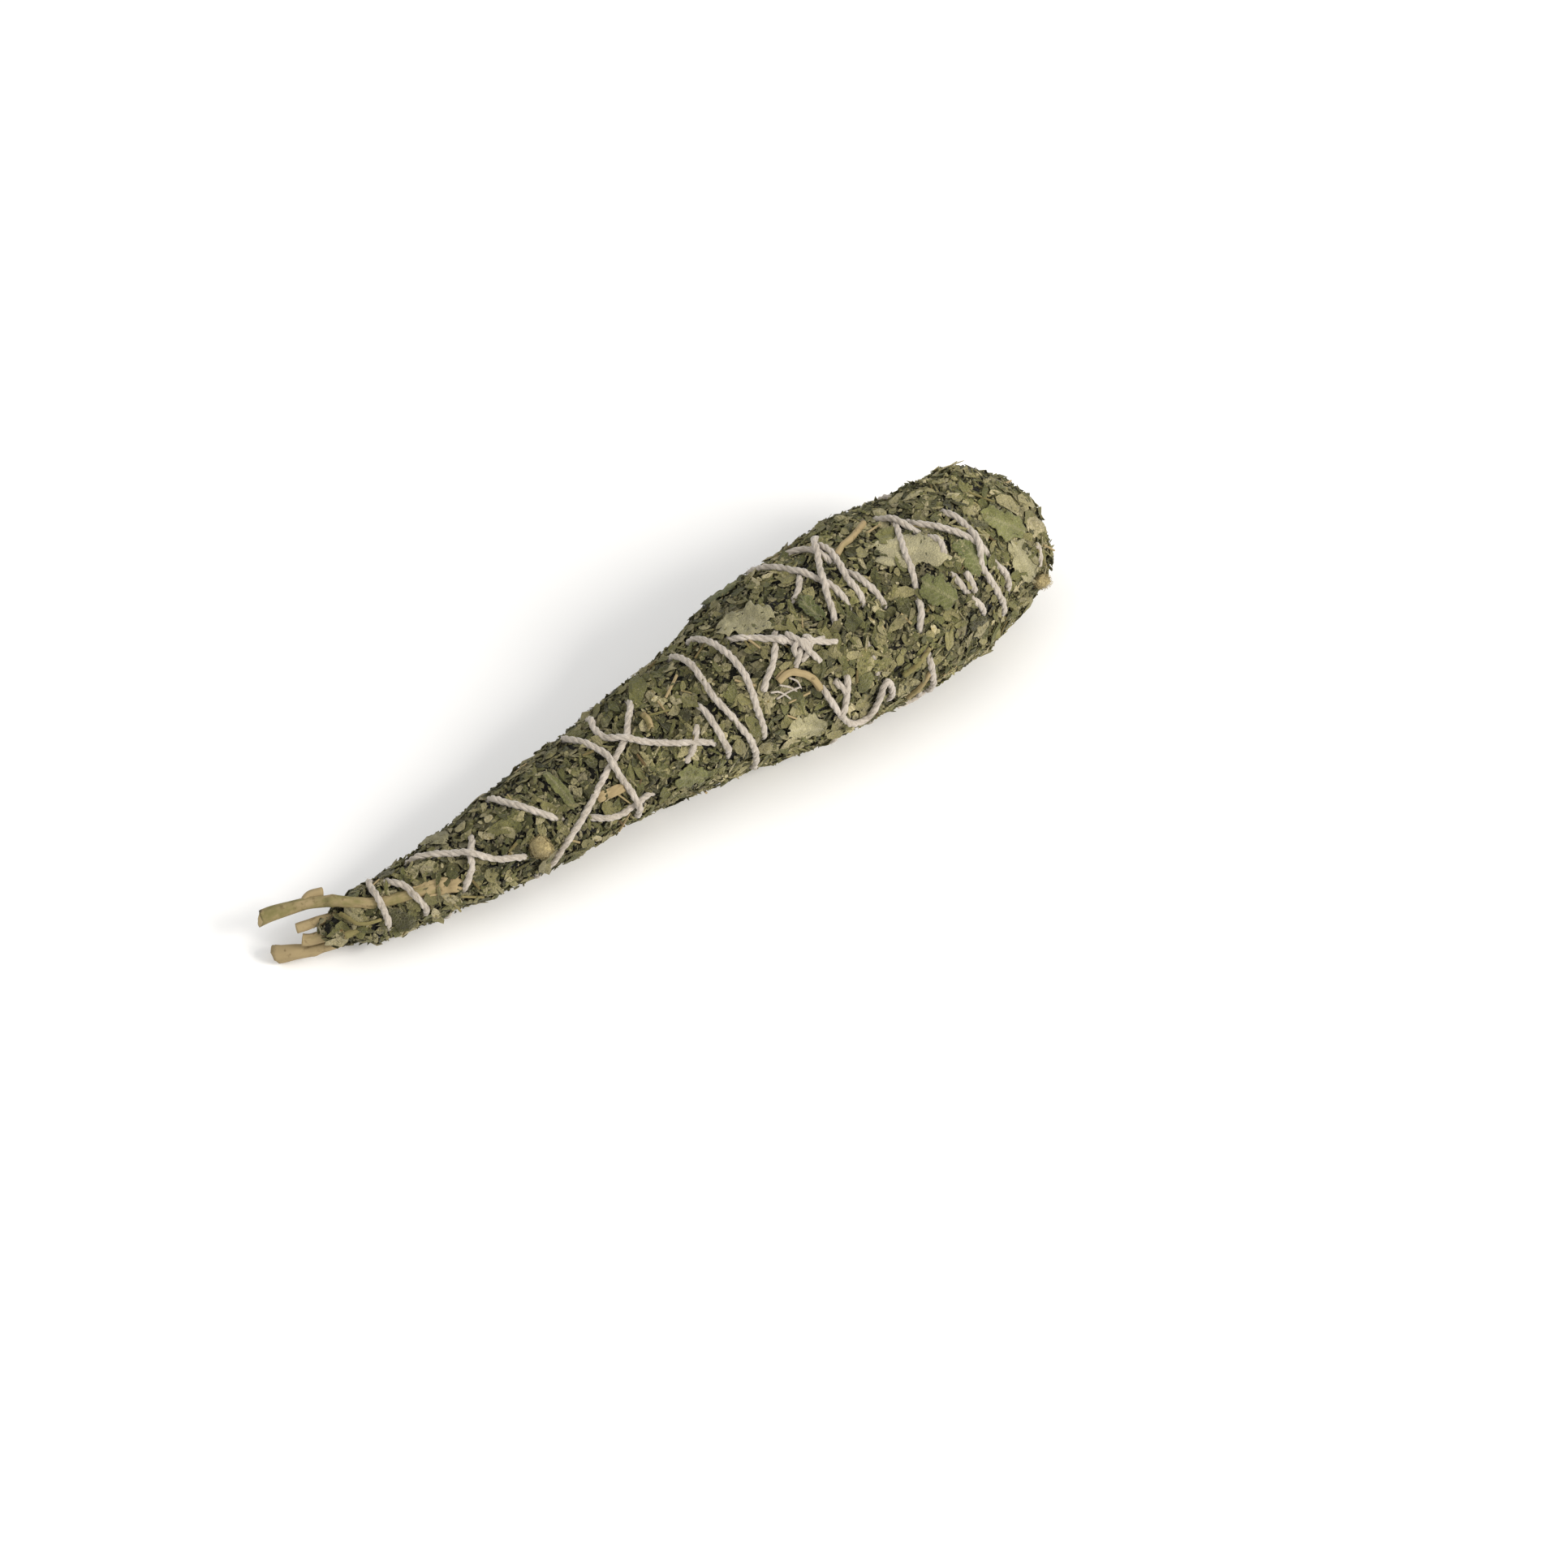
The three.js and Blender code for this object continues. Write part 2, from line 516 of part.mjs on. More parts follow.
// ---------- the leaf pack ----------
function packGeometry() {
  const profile = [new THREE.Vector2(0, PACK_START)];
  for (let row = 0; row < PACK_ROWS; row += 1) {
    const share = 1 - (1 - row / (PACK_ROWS - 1)) ** 1.5; // closer rows at the round end
    const station = THREE.MathUtils.lerp(PACK_START, PACK_END, share);
    profile.push(new THREE.Vector2(row === PACK_ROWS - 1 ? 0 : 1, station));
  }
  const geometry = new THREE.LatheGeometry(profile, PACK_SIDES);
  const place = geometry.attributes.position;
  for (let i = 0; i < place.count; i += 1) {
    const [x, station, z] = [place.getX(i), place.getY(i), place.getZ(i)];
    const angle = THREE.MathUtils.radToDeg(Math.atan2(x, z));
    const onAxis = Math.hypot(x, z) < 0.5;
    const point = onAxis ? axisAt(station) : skinPoint(station, angle);
    place.setXYZ(i, point.x, point.y, Math.max(point.z, 0));
  }
  return geometry;
}

// The runs of twine that the bundle's weight presses into its underside.
function pressedRuns(steps) {
  const runs = [];
  let run = [];
  steps.forEach((step, i) => {
    const near = steps.slice(Math.max(i - 2, 0), i + 3).some(({ pressed }) => pressed);
    if (near) run.push(step.point);
    if ((!near || i === steps.length - 1) && run.length > 1) runs.push(run);
    if (!near) run = [];
  });
  return runs;
}

let pack = toManifold(packGeometry());
STEMS.forEach((stem) => {
  pack = pack.subtract(toManifold(stemChannel(stem)));
});
const grooveDiameter = TWINE_DIAMETER + 3.6 * GAP;
Object.values(twineLengths).flatMap(pressedRuns).forEach((run) => {
  pack = pack.subtract(toManifold(rod(run, grooveDiameter, TWINE_SIDES)));
});
addPiece('leaf_pack', fromManifold(pack), LEAF_MIX);

// The origin is under the middle of the bundle, on the surface that it lies on.
const outline = new THREE.Box3().setFromObject(bundle);
const middle = outline.getCenter(new THREE.Vector3());
bundle.position.set(-middle.x, -middle.y, -outline.min.z);

export default bundle;
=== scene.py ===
"""A bundle of dried leafy herb stems, wound with cotton twine, lying on its fat side.

The bundle is described on a ruler of its own: a station along it in millimetres, an
angle round it, 0 on top and 90 degrees on the knot's side, and a lift off the pressed
pack's skin. PackShape turns those into metres in the frame's own axes.
"""

from __future__ import annotations

import json
import logging
import math
import random
from dataclasses import dataclass, field, replace
from enum import Enum
from typing import Callable, Iterable, Sequence

import bpy
import numpy as np
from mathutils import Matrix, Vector, noise

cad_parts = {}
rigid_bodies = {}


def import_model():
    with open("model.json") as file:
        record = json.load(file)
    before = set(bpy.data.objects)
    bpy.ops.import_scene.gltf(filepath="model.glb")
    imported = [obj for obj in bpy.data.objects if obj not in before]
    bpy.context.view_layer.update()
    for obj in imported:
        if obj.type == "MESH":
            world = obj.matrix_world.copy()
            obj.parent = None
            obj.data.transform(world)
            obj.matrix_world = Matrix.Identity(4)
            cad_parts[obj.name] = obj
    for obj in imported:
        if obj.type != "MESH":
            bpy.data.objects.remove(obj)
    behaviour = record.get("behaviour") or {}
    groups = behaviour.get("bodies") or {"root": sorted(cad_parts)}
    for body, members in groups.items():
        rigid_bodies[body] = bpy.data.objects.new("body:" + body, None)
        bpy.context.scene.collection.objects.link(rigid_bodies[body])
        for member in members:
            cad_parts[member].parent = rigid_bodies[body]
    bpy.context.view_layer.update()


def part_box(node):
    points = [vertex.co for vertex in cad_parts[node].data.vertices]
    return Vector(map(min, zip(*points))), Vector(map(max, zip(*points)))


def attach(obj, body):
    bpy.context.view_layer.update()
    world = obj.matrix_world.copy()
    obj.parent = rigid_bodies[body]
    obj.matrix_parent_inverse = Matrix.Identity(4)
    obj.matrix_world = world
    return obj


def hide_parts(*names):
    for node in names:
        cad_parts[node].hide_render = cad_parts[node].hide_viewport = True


LOG = logging.getLogger("bundle")
MM = 0.001
FLOOR_GAP = 0.05
UV_ROUND = 0.01
RIM_SHARE, WELL_SHARE = 0.72, 0.6

Array = np.ndarray
Socket = bpy.types.NodeSocket
Thing = bpy.types.Object
Material = bpy.types.Material
Table = tuple[tuple[float, float], ...]
Place = tuple[float, ...]
Triple = tuple[float, float, float]
Colour = tuple[float, float, float, float]
Stops = tuple[tuple[float, Colour], ...]
Face = tuple[int, ...]


# ---------------------------------------------------------------- the pack's shape


def smooth(table: Table, at: Array) -> Array:
    """A smooth curve through a table.

    Args:
        table: rows of (place, value), in order of place.
        at: the places asked for.

    Returns:
        The values at those places.
    """
    xs, ys = np.array(table).T
    slope = np.empty_like(xs)
    slope[1:-1] = (ys[2:] - ys[:-2]) / (xs[2:] - xs[:-2])
    slope[0] = (ys[1] - ys[0]) / (xs[1] - xs[0])
    slope[-1] = (ys[-1] - ys[-2]) / (xs[-1] - xs[-2])
    at = np.clip(at, xs[0], xs[-1])
    i = np.clip(np.searchsorted(xs, at) - 1, 0, len(xs) - 2)
    step = xs[i + 1] - xs[i]
    t = (at - xs[i]) / step
    y0, y1 = ys[i], ys[i + 1]
    a, b = slope[i] * step, slope[i + 1] * step
    return y0 + t * (a + t * (3 * (y1 - y0) - 2 * a - b + t * (2 * (y0 - y1) + a + b)))


@dataclass(frozen=True)
class PackShape:
    """The pressed leafy pack, in millimetres on its own ruler of stations."""

    belly_radius: float = 19.2
    neck_radius: float = 5.0
    start: float = 18.5
    end: float = 185.6
    belly_station: float = 148.0
    settle: float = 1.2
    lump: float = 0.45
    under_neck: float = 3.0
    taper: Table = (
        (0, 0), (20, 0), (34, 0.105), (48, 0.245), (62, 0.32), (76, 0.395), (90, 0.51),
        (103, 0.675), (110, 0.8), (117, 0.88), (131, 0.965), (148, 1),
    )  # fmt: skip
    cap: Table = (
        (148, 1), (158, 0.955), (165, 0.93), (172, 0.88), (178, 0.77), (182, 0.63),
        (184.4, 0.4), (185.6, 0),
    )  # fmt: skip
    bend: Table = (
        (0, -3.2), (20, -4.4), (40, -5.8), (60, -4.5), (80, -2.8), (102, -2.6), (115, -0.9),
        (130, 0.3), (150, 0.3), (170, 2.4), (187, 2.5),
    )  # fmt: skip
    shift: tuple[float, float] = (0.0, 0.0)
    crown_from: float = 162.0
    crown_drop: float = 2.0
    crown_run: float = 8.0
    lobe: tuple[float, float] = (173.0, -52.0)
    lobe_size: tuple[float, float] = (7.0, 42.0)
    lobe_height: float = 3.2
    waves: tuple[Place, ...] = ((3, 0.11, 0.8, 1.0), (5, -0.17, 0.0, 0.8), (2, 0.23, 2.0, 0.6))

    def crown(self, station: Array, angle: Array) -> Array:
        """How far the leafy end's loose lobe stands off, or the rest of it falls short.

        Args:
            station: places along the bundle, in millimetres.
            angle: places round it, in degrees.

        Returns:
            Heights to add to the radius, in millimetres.
        """
        part = np.clip((station - self.crown_from) / self.crown_run, 0, 1)
        turn = (np.asarray(angle, float) - self.lobe[1] + 180) % 360 - 180
        along, about = self.lobe_size
        lobe = np.exp(-((turn / about) ** 2) - ((station - self.lobe[0]) / along) ** 2)
        return self.lobe_height * lobe - self.crown_drop * part * part * (3 - 2 * part)

    def round_radius(self, station: Array) -> Array:
        """The radius without its lumps.

        Args:
            station: places along the bundle, in millimetres.

        Returns:
            The radii, in millimetres.
        """
        body = self.neck_radius + (self.belly_radius - self.neck_radius) * smooth(
            self.taper, station
        )
        end = self.belly_radius * np.maximum(smooth(self.cap, station), 0)
        return np.where(station > self.belly_station, end, body)

    def radius(self, station: Array, angle: Array) -> Array:
        """The radius at a station and angle, lumps included.

        Args:
            station: places along the bundle, in millimetres.
            angle: places round it, in degrees.

        Returns:
            The radii, in millimetres.
        """
        round_radius = self.round_radius(station)
        a = np.radians(angle)
        waves = sum(size * np.sin(n * a + drift * station + start) for n, drift, start, size in self.waves)
        lumpy = round_radius * (1 + self.lump * waves / self.belly_radius)
        return lumpy + self.crown(station, angle) * np.minimum(round_radius / self.crown_run, 1)

    def axis(self, station: Array) -> Array:
        """The centre line, clear of the floor at the neck and resting at the belly.

        Args:
            station: places along the bundle, in millimetres.

        Returns:
            Points of the centre line, in millimetres.
        """
        rest = self.belly_radius - self.settle
        low = np.minimum(rest, self.round_radius(station) + self.under_neck)
        height = np.where(station > self.belly_station, rest, low)
        x = station + self.shift[0]
        y = smooth(self.bend, station) + self.shift[1]
        return np.stack([x, y, height], axis=-1)

    def outward(self, angle: Array) -> Array:
        """The direction away from the centre line at an angle."""
        a = np.radians(angle)
        return np.stack([np.zeros_like(a), -np.sin(a), np.cos(a)], axis=-1)

    def point(self, station: Array, angle: Array, lift: Array) -> Array:
        """Points off the skin.

        Args:
            station: places along the bundle, in millimetres.
            angle: places round it, in degrees.
            lift: heights over the skin, in millimetres.

        Returns:
            Points in metres, one row each.
        """
        station, angle, lift = np.broadcast_arrays(
            *(np.asarray(v, float) for v in (station, angle, lift))
        )
        reach = self.radius(station, angle) + lift
        return (self.axis(station) + self.outward(angle) * reach[..., None]) * MM

    def placed_in(self, low: Vector, high: Vector) -> "PackShape":
        """The same shape, shifted to where the CAD pack lies.

        Args:
            low: lowest corner of the CAD pack, in metres.
            high: its highest corner.

        Returns:
            The shifted shape.
        """
        station, angle = np.meshgrid(np.linspace(self.start, self.end, 200), np.arange(0, 360, 3))
        own = self.point(station, angle, 0).reshape(-1, 3) / MM
        middle = (own.min(axis=0) + own.max(axis=0)) / 2
        found = (np.array(low) + np.array(high)) / 2 / MM
        return replace(self, shift=(found[0] - middle[0], found[1] - middle[1]))


def distances(line: Array) -> Array:
    """How far along a line each of its points is."""
    return np.concatenate([[0], np.cumsum(np.linalg.norm(np.diff(line, axis=0), axis=1))])


def route_points(route: Sequence[Place], spacing: float) -> Array:
    """Smooth places between given ones.

    Args:
        route: (station, angle, lift) places; lift may be left out.
        spacing: distance between the places given back, in millimetres.

    Returns:
        Rows of station, angle and lift.
    """
    scale = 0.3
    nodes = np.array([(p[0], p[1] * scale, p[2] if len(p) > 2 else 0.0) for p in route])
    nodes = np.vstack([2 * nodes[0] - nodes[1], nodes, 2 * nodes[-1] - nodes[-2]])
    gaps = np.maximum(np.linalg.norm(np.diff(nodes, axis=0), axis=1) ** 0.5, 1e-4)
    t = np.linspace(0, 1, 40, endpoint=False)[:, None]
    dense = []
    for k in range(len(nodes) - 3):
        p0, p1, p2, p3 = nodes[k : k + 4]
        d0, d1, d2 = gaps[k : k + 3]
        m1 = ((p1 - p0) / d0 - (p2 - p0) / (d0 + d1) + (p2 - p1) / d1) * d1
        m2 = ((p2 - p1) / d1 - (p3 - p1) / (d1 + d2) + (p3 - p2) / d2) * d1
        dense.append(
            p1 + m1 * t + (3 * (p2 - p1) - 2 * m1 - m2) * t**2 + (2 * (p1 - p2) + m1 + m2) * t**3
        )
    line = np.vstack([*dense, nodes[-2][None]])
    length = distances(line)
    count = max(2, math.ceil(length[-1] / spacing)) + 1
    even = np.linspace(0, length[-1], count)
    line = np.stack([np.interp(even, length, line[:, k]) for k in range(3)], axis=-1)
    line[:, 1] /= scale
    return line


# ---------------------------------------------------------------- finishes


class Slot(Enum):
    """The record's material slots."""

    LEAF_MIX = "leaf_mix"
    LEAF_GREEN = "leaf_green"
    LEAF_PALE = "leaf_pale"
    WOOD = "stem_wood"
    TWINE = "cotton_twine"


def srgb(red: int, green: int, blue: int) -> Colour:
    """A screen colour as a linear one.

    Args:
        red: from 0 to 255.
        green: the same.
        blue: the same.

    Returns:
        The linear colour, opaque.
    """
    shares = [value / 255 for value in (red, green, blue)]
    linear = [((v + 0.055) / 1.055) ** 2.4 if v > 0.04045 else v / 12.92 for v in shares]
    return (linear[0], linear[1], linear[2], 1.0)


class Graph:
    """A tree of nodes, added and joined in few words."""

    def __init__(self, tree: bpy.types.NodeTree) -> None:
        """Starts from an empty tree."""
        self.tree = tree
        tree.nodes.clear()

    @staticmethod
    def socket(sockets: Iterable[Socket], label: str) -> Socket:
        """The socket in use that has this label."""
        return next(s for s in sockets if s.name == label and s.enabled)

    def give(self, node: bpy.types.Node, given: dict[int | str, object]) -> None:
        """Sets a node's inputs, by label or number, or joins them where a socket is given.

        Args:
            node: the node.
            given: a value or a socket for each label or number.
        """
        for key, value in given.items():
            target = node.inputs[key] if isinstance(key, int) else self.socket(node.inputs, key)
            if isinstance(value, Socket):
                self.tree.links.new(value, target)
            else:
                target.default_value = value

    def add(
        self, kind: str, given: dict[int | str, object] | None = None, **settings: object
    ) -> bpy.types.Node:
        """Adds a node of a kind, with its inputs as in give, and settings for its properties.

        Args:
            kind: its type.
            given: its inputs, as in give.
            settings: its properties.

        Returns:
            The node.
        """
        node = self.tree.nodes.new(kind)
        for key, value in settings.items():
            setattr(node, key, value)
        self.give(node, given or {})
        return node

    def maths(self, kind: str, first: Socket, second: Socket | float) -> Socket:
        """Two numbers put together."""
        return self.add("ShaderNodeMath", {0: first, 1: second}, operation=kind).outputs[0]

    def scaled(self, vector: Socket, factor: Socket) -> Socket:
        """A vector or a colour times a number."""
        return self.add("ShaderNodeVectorMath", {0: vector, "Scale": factor}, operation="SCALE").outputs[0]

    def stretch(self, value: Socket, start: tuple[object, object], to: tuple[float, float]) -> Socket:
        """The value moved from one range to another, and held inside it."""
        labels = ("Value", "From Min", "From Max", "To Min", "To Max")
        return self.add("ShaderNodeMapRange", dict(zip(labels, (value, *start, *to)))).outputs["Result"]


class Paint(Graph):
    """A material's nodes."""

    def __init__(self, name: str) -> None:
        """Starts a material with its shader and output only.

        Args:
            name: the material's name.
        """
        self.material = bpy.data.materials.new(name)
        self.material.use_nodes = True
        super().__init__(self.material.node_tree)
        self.shader = self.add("ShaderNodeBsdfPrincipled")
        self.add("ShaderNodeOutputMaterial", {"Surface": self.shader.outputs["BSDF"]})

    def coordinates(self) -> Socket:
        """Object coordinates."""
        return self.add("ShaderNodeTexCoord").outputs["Object"]

    def along_uv(self, stretch: Triple) -> Socket:
        """The piece's own UV map, stretched."""
        place = self.add("ShaderNodeUVMap", uv_map="along").outputs["UV"]
        return self.add("ShaderNodeMapping", {"Vector": place, "Scale": stretch}).outputs["Vector"]

    def attribute(self, name: str) -> Socket:
        """A number kept on the mesh."""
        return self.add("ShaderNodeAttribute", attribute_name=name).outputs["Fac"]

    def noise(self, vector: Socket, scale: float, detail: float) -> Socket:
        """A cloudy pattern, about 0 to 1."""
        given = {"Vector": vector, "Scale": scale, "Detail": detail, "Roughness": 0.6}
        return self.add("ShaderNodeTexNoise", given).outputs["Fac"]

    def ramp(self, value: Socket, stops: Stops) -> Socket:
        """Colours by a number.

        Args:
            value: the number.
            stops: rows of (number, colour).

        Returns:
            The colour.
        """
        node = self.add("ShaderNodeValToRGB", {"Fac": value})
        points = node.color_ramp.elements
        while len(points) < len(stops):
            points.new(0.5)
        for point, (at, colour) in zip(points, stops):
            point.position = at
            point.color = colour
        return node.outputs["Color"]

    def blend(self, share: Socket, first: Socket, second: Colour) -> Socket:
        """Two colours put together."""
        return self.add("ShaderNodeMix", {0: share, 6: first, 7: second}, data_type="RGBA").outputs[2]

    def made(
        self, colour: Socket, height: Socket, bump: tuple[float, float],
        roughness: float, gloss: float, sheen: float,
    ) -> Material:  # fmt: skip
        """Joins everything to the shader.

        Args:
            colour: the base colour.
            height: the height of its bumps.
            bump: their strength, and their depth in metres.
            roughness: of the surface.
            gloss: the specular level.
            sheen: the weight of the soft sheen.

        Returns:
            The material.
        """
        bumps = self.add("ShaderNodeBump", {"Height": height, "Strength": bump[0], "Distance": bump[1]})
        self.give(self.shader, {
            "Base Color": colour, "Normal": bumps.outputs["Normal"], "Roughness": roughness,
            "Specular IOR Level": gloss, "Sheen Weight": sheen,
        })  # fmt: skip
        return self.material


@dataclass(frozen=True)
class LeafFinish:
    """Dry, matt leaf: a colour from each flake's own tint, with fine veins and mottling.

    The scales are patterns to the metre, and the ranges are where a pattern is cut off and
    what it is turned into. The painted shade factor darkens the whole finish: painted shade for the flakes
    underneath.
    """

    name: str
    stops: Stops
    vein: Colour = srgb(140, 134, 100)
    vein_share: float = 0.45
    vein_scale: float = 1500.0
    mottle_scale: float = 900.0
    mottle: float = 0.07
    cloud_scale: float = 260.0
    grain_scale: float = 4200.0
    grain: tuple[float, float] = (0.78, 1.12)
    patch_scale: float = 85.0
    patch: tuple[float, float] = (0.66, 1.2)
    half_length: float = 0.085
    ends: tuple[float, float] = (0.87, 1.17)
    crease_scale: float = 2400.0
    bump: tuple[float, float] = (0.75, 0.00035)
    # Below 1, painted shade: the whole finish darkened for flakes lying in the gaps underneath.
    painted_shade_factor: float = 1.0

    def make(self) -> Material:
        """Builds the material.

        Returns:
            The material.
        """
        g = Paint(self.name)
        place = g.coordinates()
        mottle = g.stretch(g.noise(place, self.mottle_scale, 4.0), (0.3, 0.7), (-self.mottle, self.mottle))
        tone = g.maths("ADD", g.maths("MULTIPLY", g.attribute("tint"), 1 - self.mottle), mottle)
        cells = g.add(
            "ShaderNodeTexVoronoi", {"Vector": place, "Scale": self.vein_scale}, feature="DISTANCE_TO_EDGE"
        )
        net = g.stretch(cells.outputs["Distance"], (0.02, 0.14), (1.0, 0.0))
        cloud = g.stretch(g.noise(place, self.cloud_scale, 2.0), (0.4, 0.65), (0.0, self.vein_share))
        veined = g.blend(g.maths("MULTIPLY", net, cloud), g.ramp(tone, self.stops), self.vein)
        ribs = g.blend(g.maths("MULTIPLY", g.attribute("vein"), 0.7), veined, self.vein)
        grain = g.stretch(g.noise(place, self.grain_scale, 2.0), (0.3, 0.7), self.grain)
        patch_and_painted_shade = (self.patch[0] * self.painted_shade_factor, self.patch[1] * self.painted_shade_factor)
        patch = g.stretch(g.noise(place, self.patch_scale, 2.0), (0.36, 0.64), patch_and_painted_shade)
        apart = g.add("ShaderNodeSeparateXYZ", {0: place})
        along = g.stretch(apart.outputs["X"], (-self.half_length, self.half_length), self.ends)
        # Tone: grain, patches and a gradient darker toward the neck end, times the painted shade factor.
        shade = g.maths("MULTIPLY", g.maths("MULTIPLY", grain, patch), along)
        height = g.maths("ADD", g.maths("MULTIPLY", net, 0.5), g.noise(place, self.crease_scale, 3.0))
        return g.made(g.scaled(ribs, shade), height, self.bump, roughness=0.9, gloss=0.25, sheen=0.12)


@dataclass(frozen=True)
class WoodFinish:
    """Dry stem: long fibres, a paler cut end."""

    dark: Colour = srgb(82, 66, 38)
    light: Colour = srgb(150, 132, 96)
    green: Colour = srgb(116, 108, 66)
    pith: Colour = srgb(170, 150, 108)
    fibre: Triple = (160.0, 26.0, 1.0)
    spot_scale: float = 700.0

    def make(self) -> Material:
        """Builds the material.

        Returns:
            The material.
        """
        g = Paint("stem_wood")
        fibres = g.noise(g.along_uv(self.fibre), 1.0, 4.0)
        tone = g.stretch(g.maths("ADD", fibres, g.attribute("tint")), (0.55, 1.35), (0.0, 1.0))
        base = g.ramp(tone, ((0.0, self.dark), (0.5, self.green), (0.75, self.light), (1.0, self.light)))
        spots = g.stretch(g.noise(g.coordinates(), self.spot_scale, 3.0), (0.58, 0.68), (0.0, 0.5))
        cut = g.blend(g.attribute("cut"), g.blend(spots, base, self.dark), self.pith)
        return g.made(cut, fibres, (0.5, 0.0002), roughness=0.78, gloss=0.3, sheen=0.0)


@dataclass(frozen=True)
class CottonFinish:
    """Soft cotton twine: warm white, with fine fibres along each ply."""

    shade: Colour = srgb(132, 122, 107)
    light: Colour = srgb(194, 184, 171)
    fibre: Triple = (1300.0, 9.0, 1.0)
    dust_scale: float = 380.0

    def make(self) -> Material:
        """Builds the material.

        Returns:
            The material.
        """
        g = Paint("cotton_twine")
        fibres = g.noise(g.along_uv(self.fibre), 1.0, 4.0)
        dust = g.noise(g.coordinates(), self.dust_scale, 3.0)
        tone = g.maths("ADD", g.maths("MULTIPLY", fibres, 0.6), g.maths("MULTIPLY", dust, 0.4))
        base = g.ramp(g.stretch(tone, (0.32, 0.66), (0.0, 1.0)), ((0.0, self.shade), (1.0, self.light)))
        return g.made(base, fibres, (0.6, 0.00015), roughness=0.92, gloss=0.2, sheen=0.35)


MIXED_STOPS = (
    (0.00, srgb(56, 53, 28)),
    (0.12, srgb(76, 76, 40)),
    (0.30, srgb(98, 96, 53)),
    (0.50, srgb(116, 110, 68)),
    (0.68, srgb(132, 124, 84)),
    (0.84, srgb(150, 141, 104)),
    (0.93, srgb(172, 161, 126)),
    (0.98, srgb(134, 117, 54)),
    (1.00, srgb(108, 60, 32)),
)
# Painted shade: the core's near-black leaf, standing in for the shade deep between the flakes.
PAINTED_SHADE_STOPS = (
    (0.0, srgb(20, 18, 8)),
    (1.0, srgb(34, 31, 16)),
)
GREEN_STOPS = (
    (0.0, srgb(70, 76, 38)),
    (0.5, srgb(98, 101, 56)),
    (1.0, srgb(120, 118, 71)),
)
PALE_STOPS = (
    (0.0, srgb(128, 122, 86)),
    (0.5, srgb(152, 145, 110)),
    (1.0, srgb(174, 165, 131)),
)
DOWN_STOPS = (
    (0.0, srgb(160, 142, 92)),
    (1.0, srgb(198, 180, 130)),
)


@dataclass(frozen=True)
class Finishes:
    """Every finish, made once."""

    mixed: Material
    # The leaf darkened as painted shade, for the layers underneath.
    under: Material
    # The core's leaf, near black as painted shade.
    dark: Material
    green: Material
    pale: Material
    down: Material
    wood: Material
    cotton: Material

    @classmethod
    def made(cls) -> "Finishes":
        """Builds the materials.

        Returns:
            Every finish.
        """
        return cls(
            mixed=LeafFinish("leaf_mix", MIXED_STOPS).make(),
            # Painted shade: the under layers' leaf, darkened to stand in for shade in the gaps between
            # flakes.
            under=LeafFinish("leaf_mix_painted_shade", MIXED_STOPS, painted_shade_factor=0.64).make(),
            # Painted shade: the near-black core that shows in the gaps between flakes.
            dark=LeafFinish("leaf_core", PAINTED_SHADE_STOPS, vein_share=0.1).make(),
            green=LeafFinish("leaf_green", GREEN_STOPS, vein_share=0.3).make(),
            pale=LeafFinish("leaf_pale", PALE_STOPS, vein=srgb(168, 160, 128)).make(),
            down=LeafFinish("seed_down", DOWN_STOPS, vein_share=0.0).make(),
            wood=WoodFinish().make(),
            cotton=CottonFinish().make(),
        )

    def of(self, slot: Slot) -> Material:
        """The material of a leaf's or a bark strip's slot."""
        return {Slot.LEAF_GREEN: self.green, Slot.LEAF_PALE: self.pale, Slot.WOOD: self.wood}[slot]


# ---------------------------------------------------------------- meshes


def mesh_of(name: str, points: Sequence[Sequence[float]], faces: Sequence[Face]) -> bpy.types.Mesh:
    """A plain mesh.

    Args:
        name: its name.
        points: its corners.
        faces: its faces.

    Returns:
        The mesh.
    """
    mesh = bpy.data.meshes.new(name)
    mesh.from_pydata(points, [], faces)
    return mesh


def placed(name: str, data: bpy.types.ID) -> Thing:
    """A new object in the scene.

    Args:
        name: its name.
        data: its mesh, light or camera.

    Returns:
        The object.
    """
    thing = bpy.data.objects.new(name, data)
    bpy.context.scene.collection.objects.link(thing)
    return thing


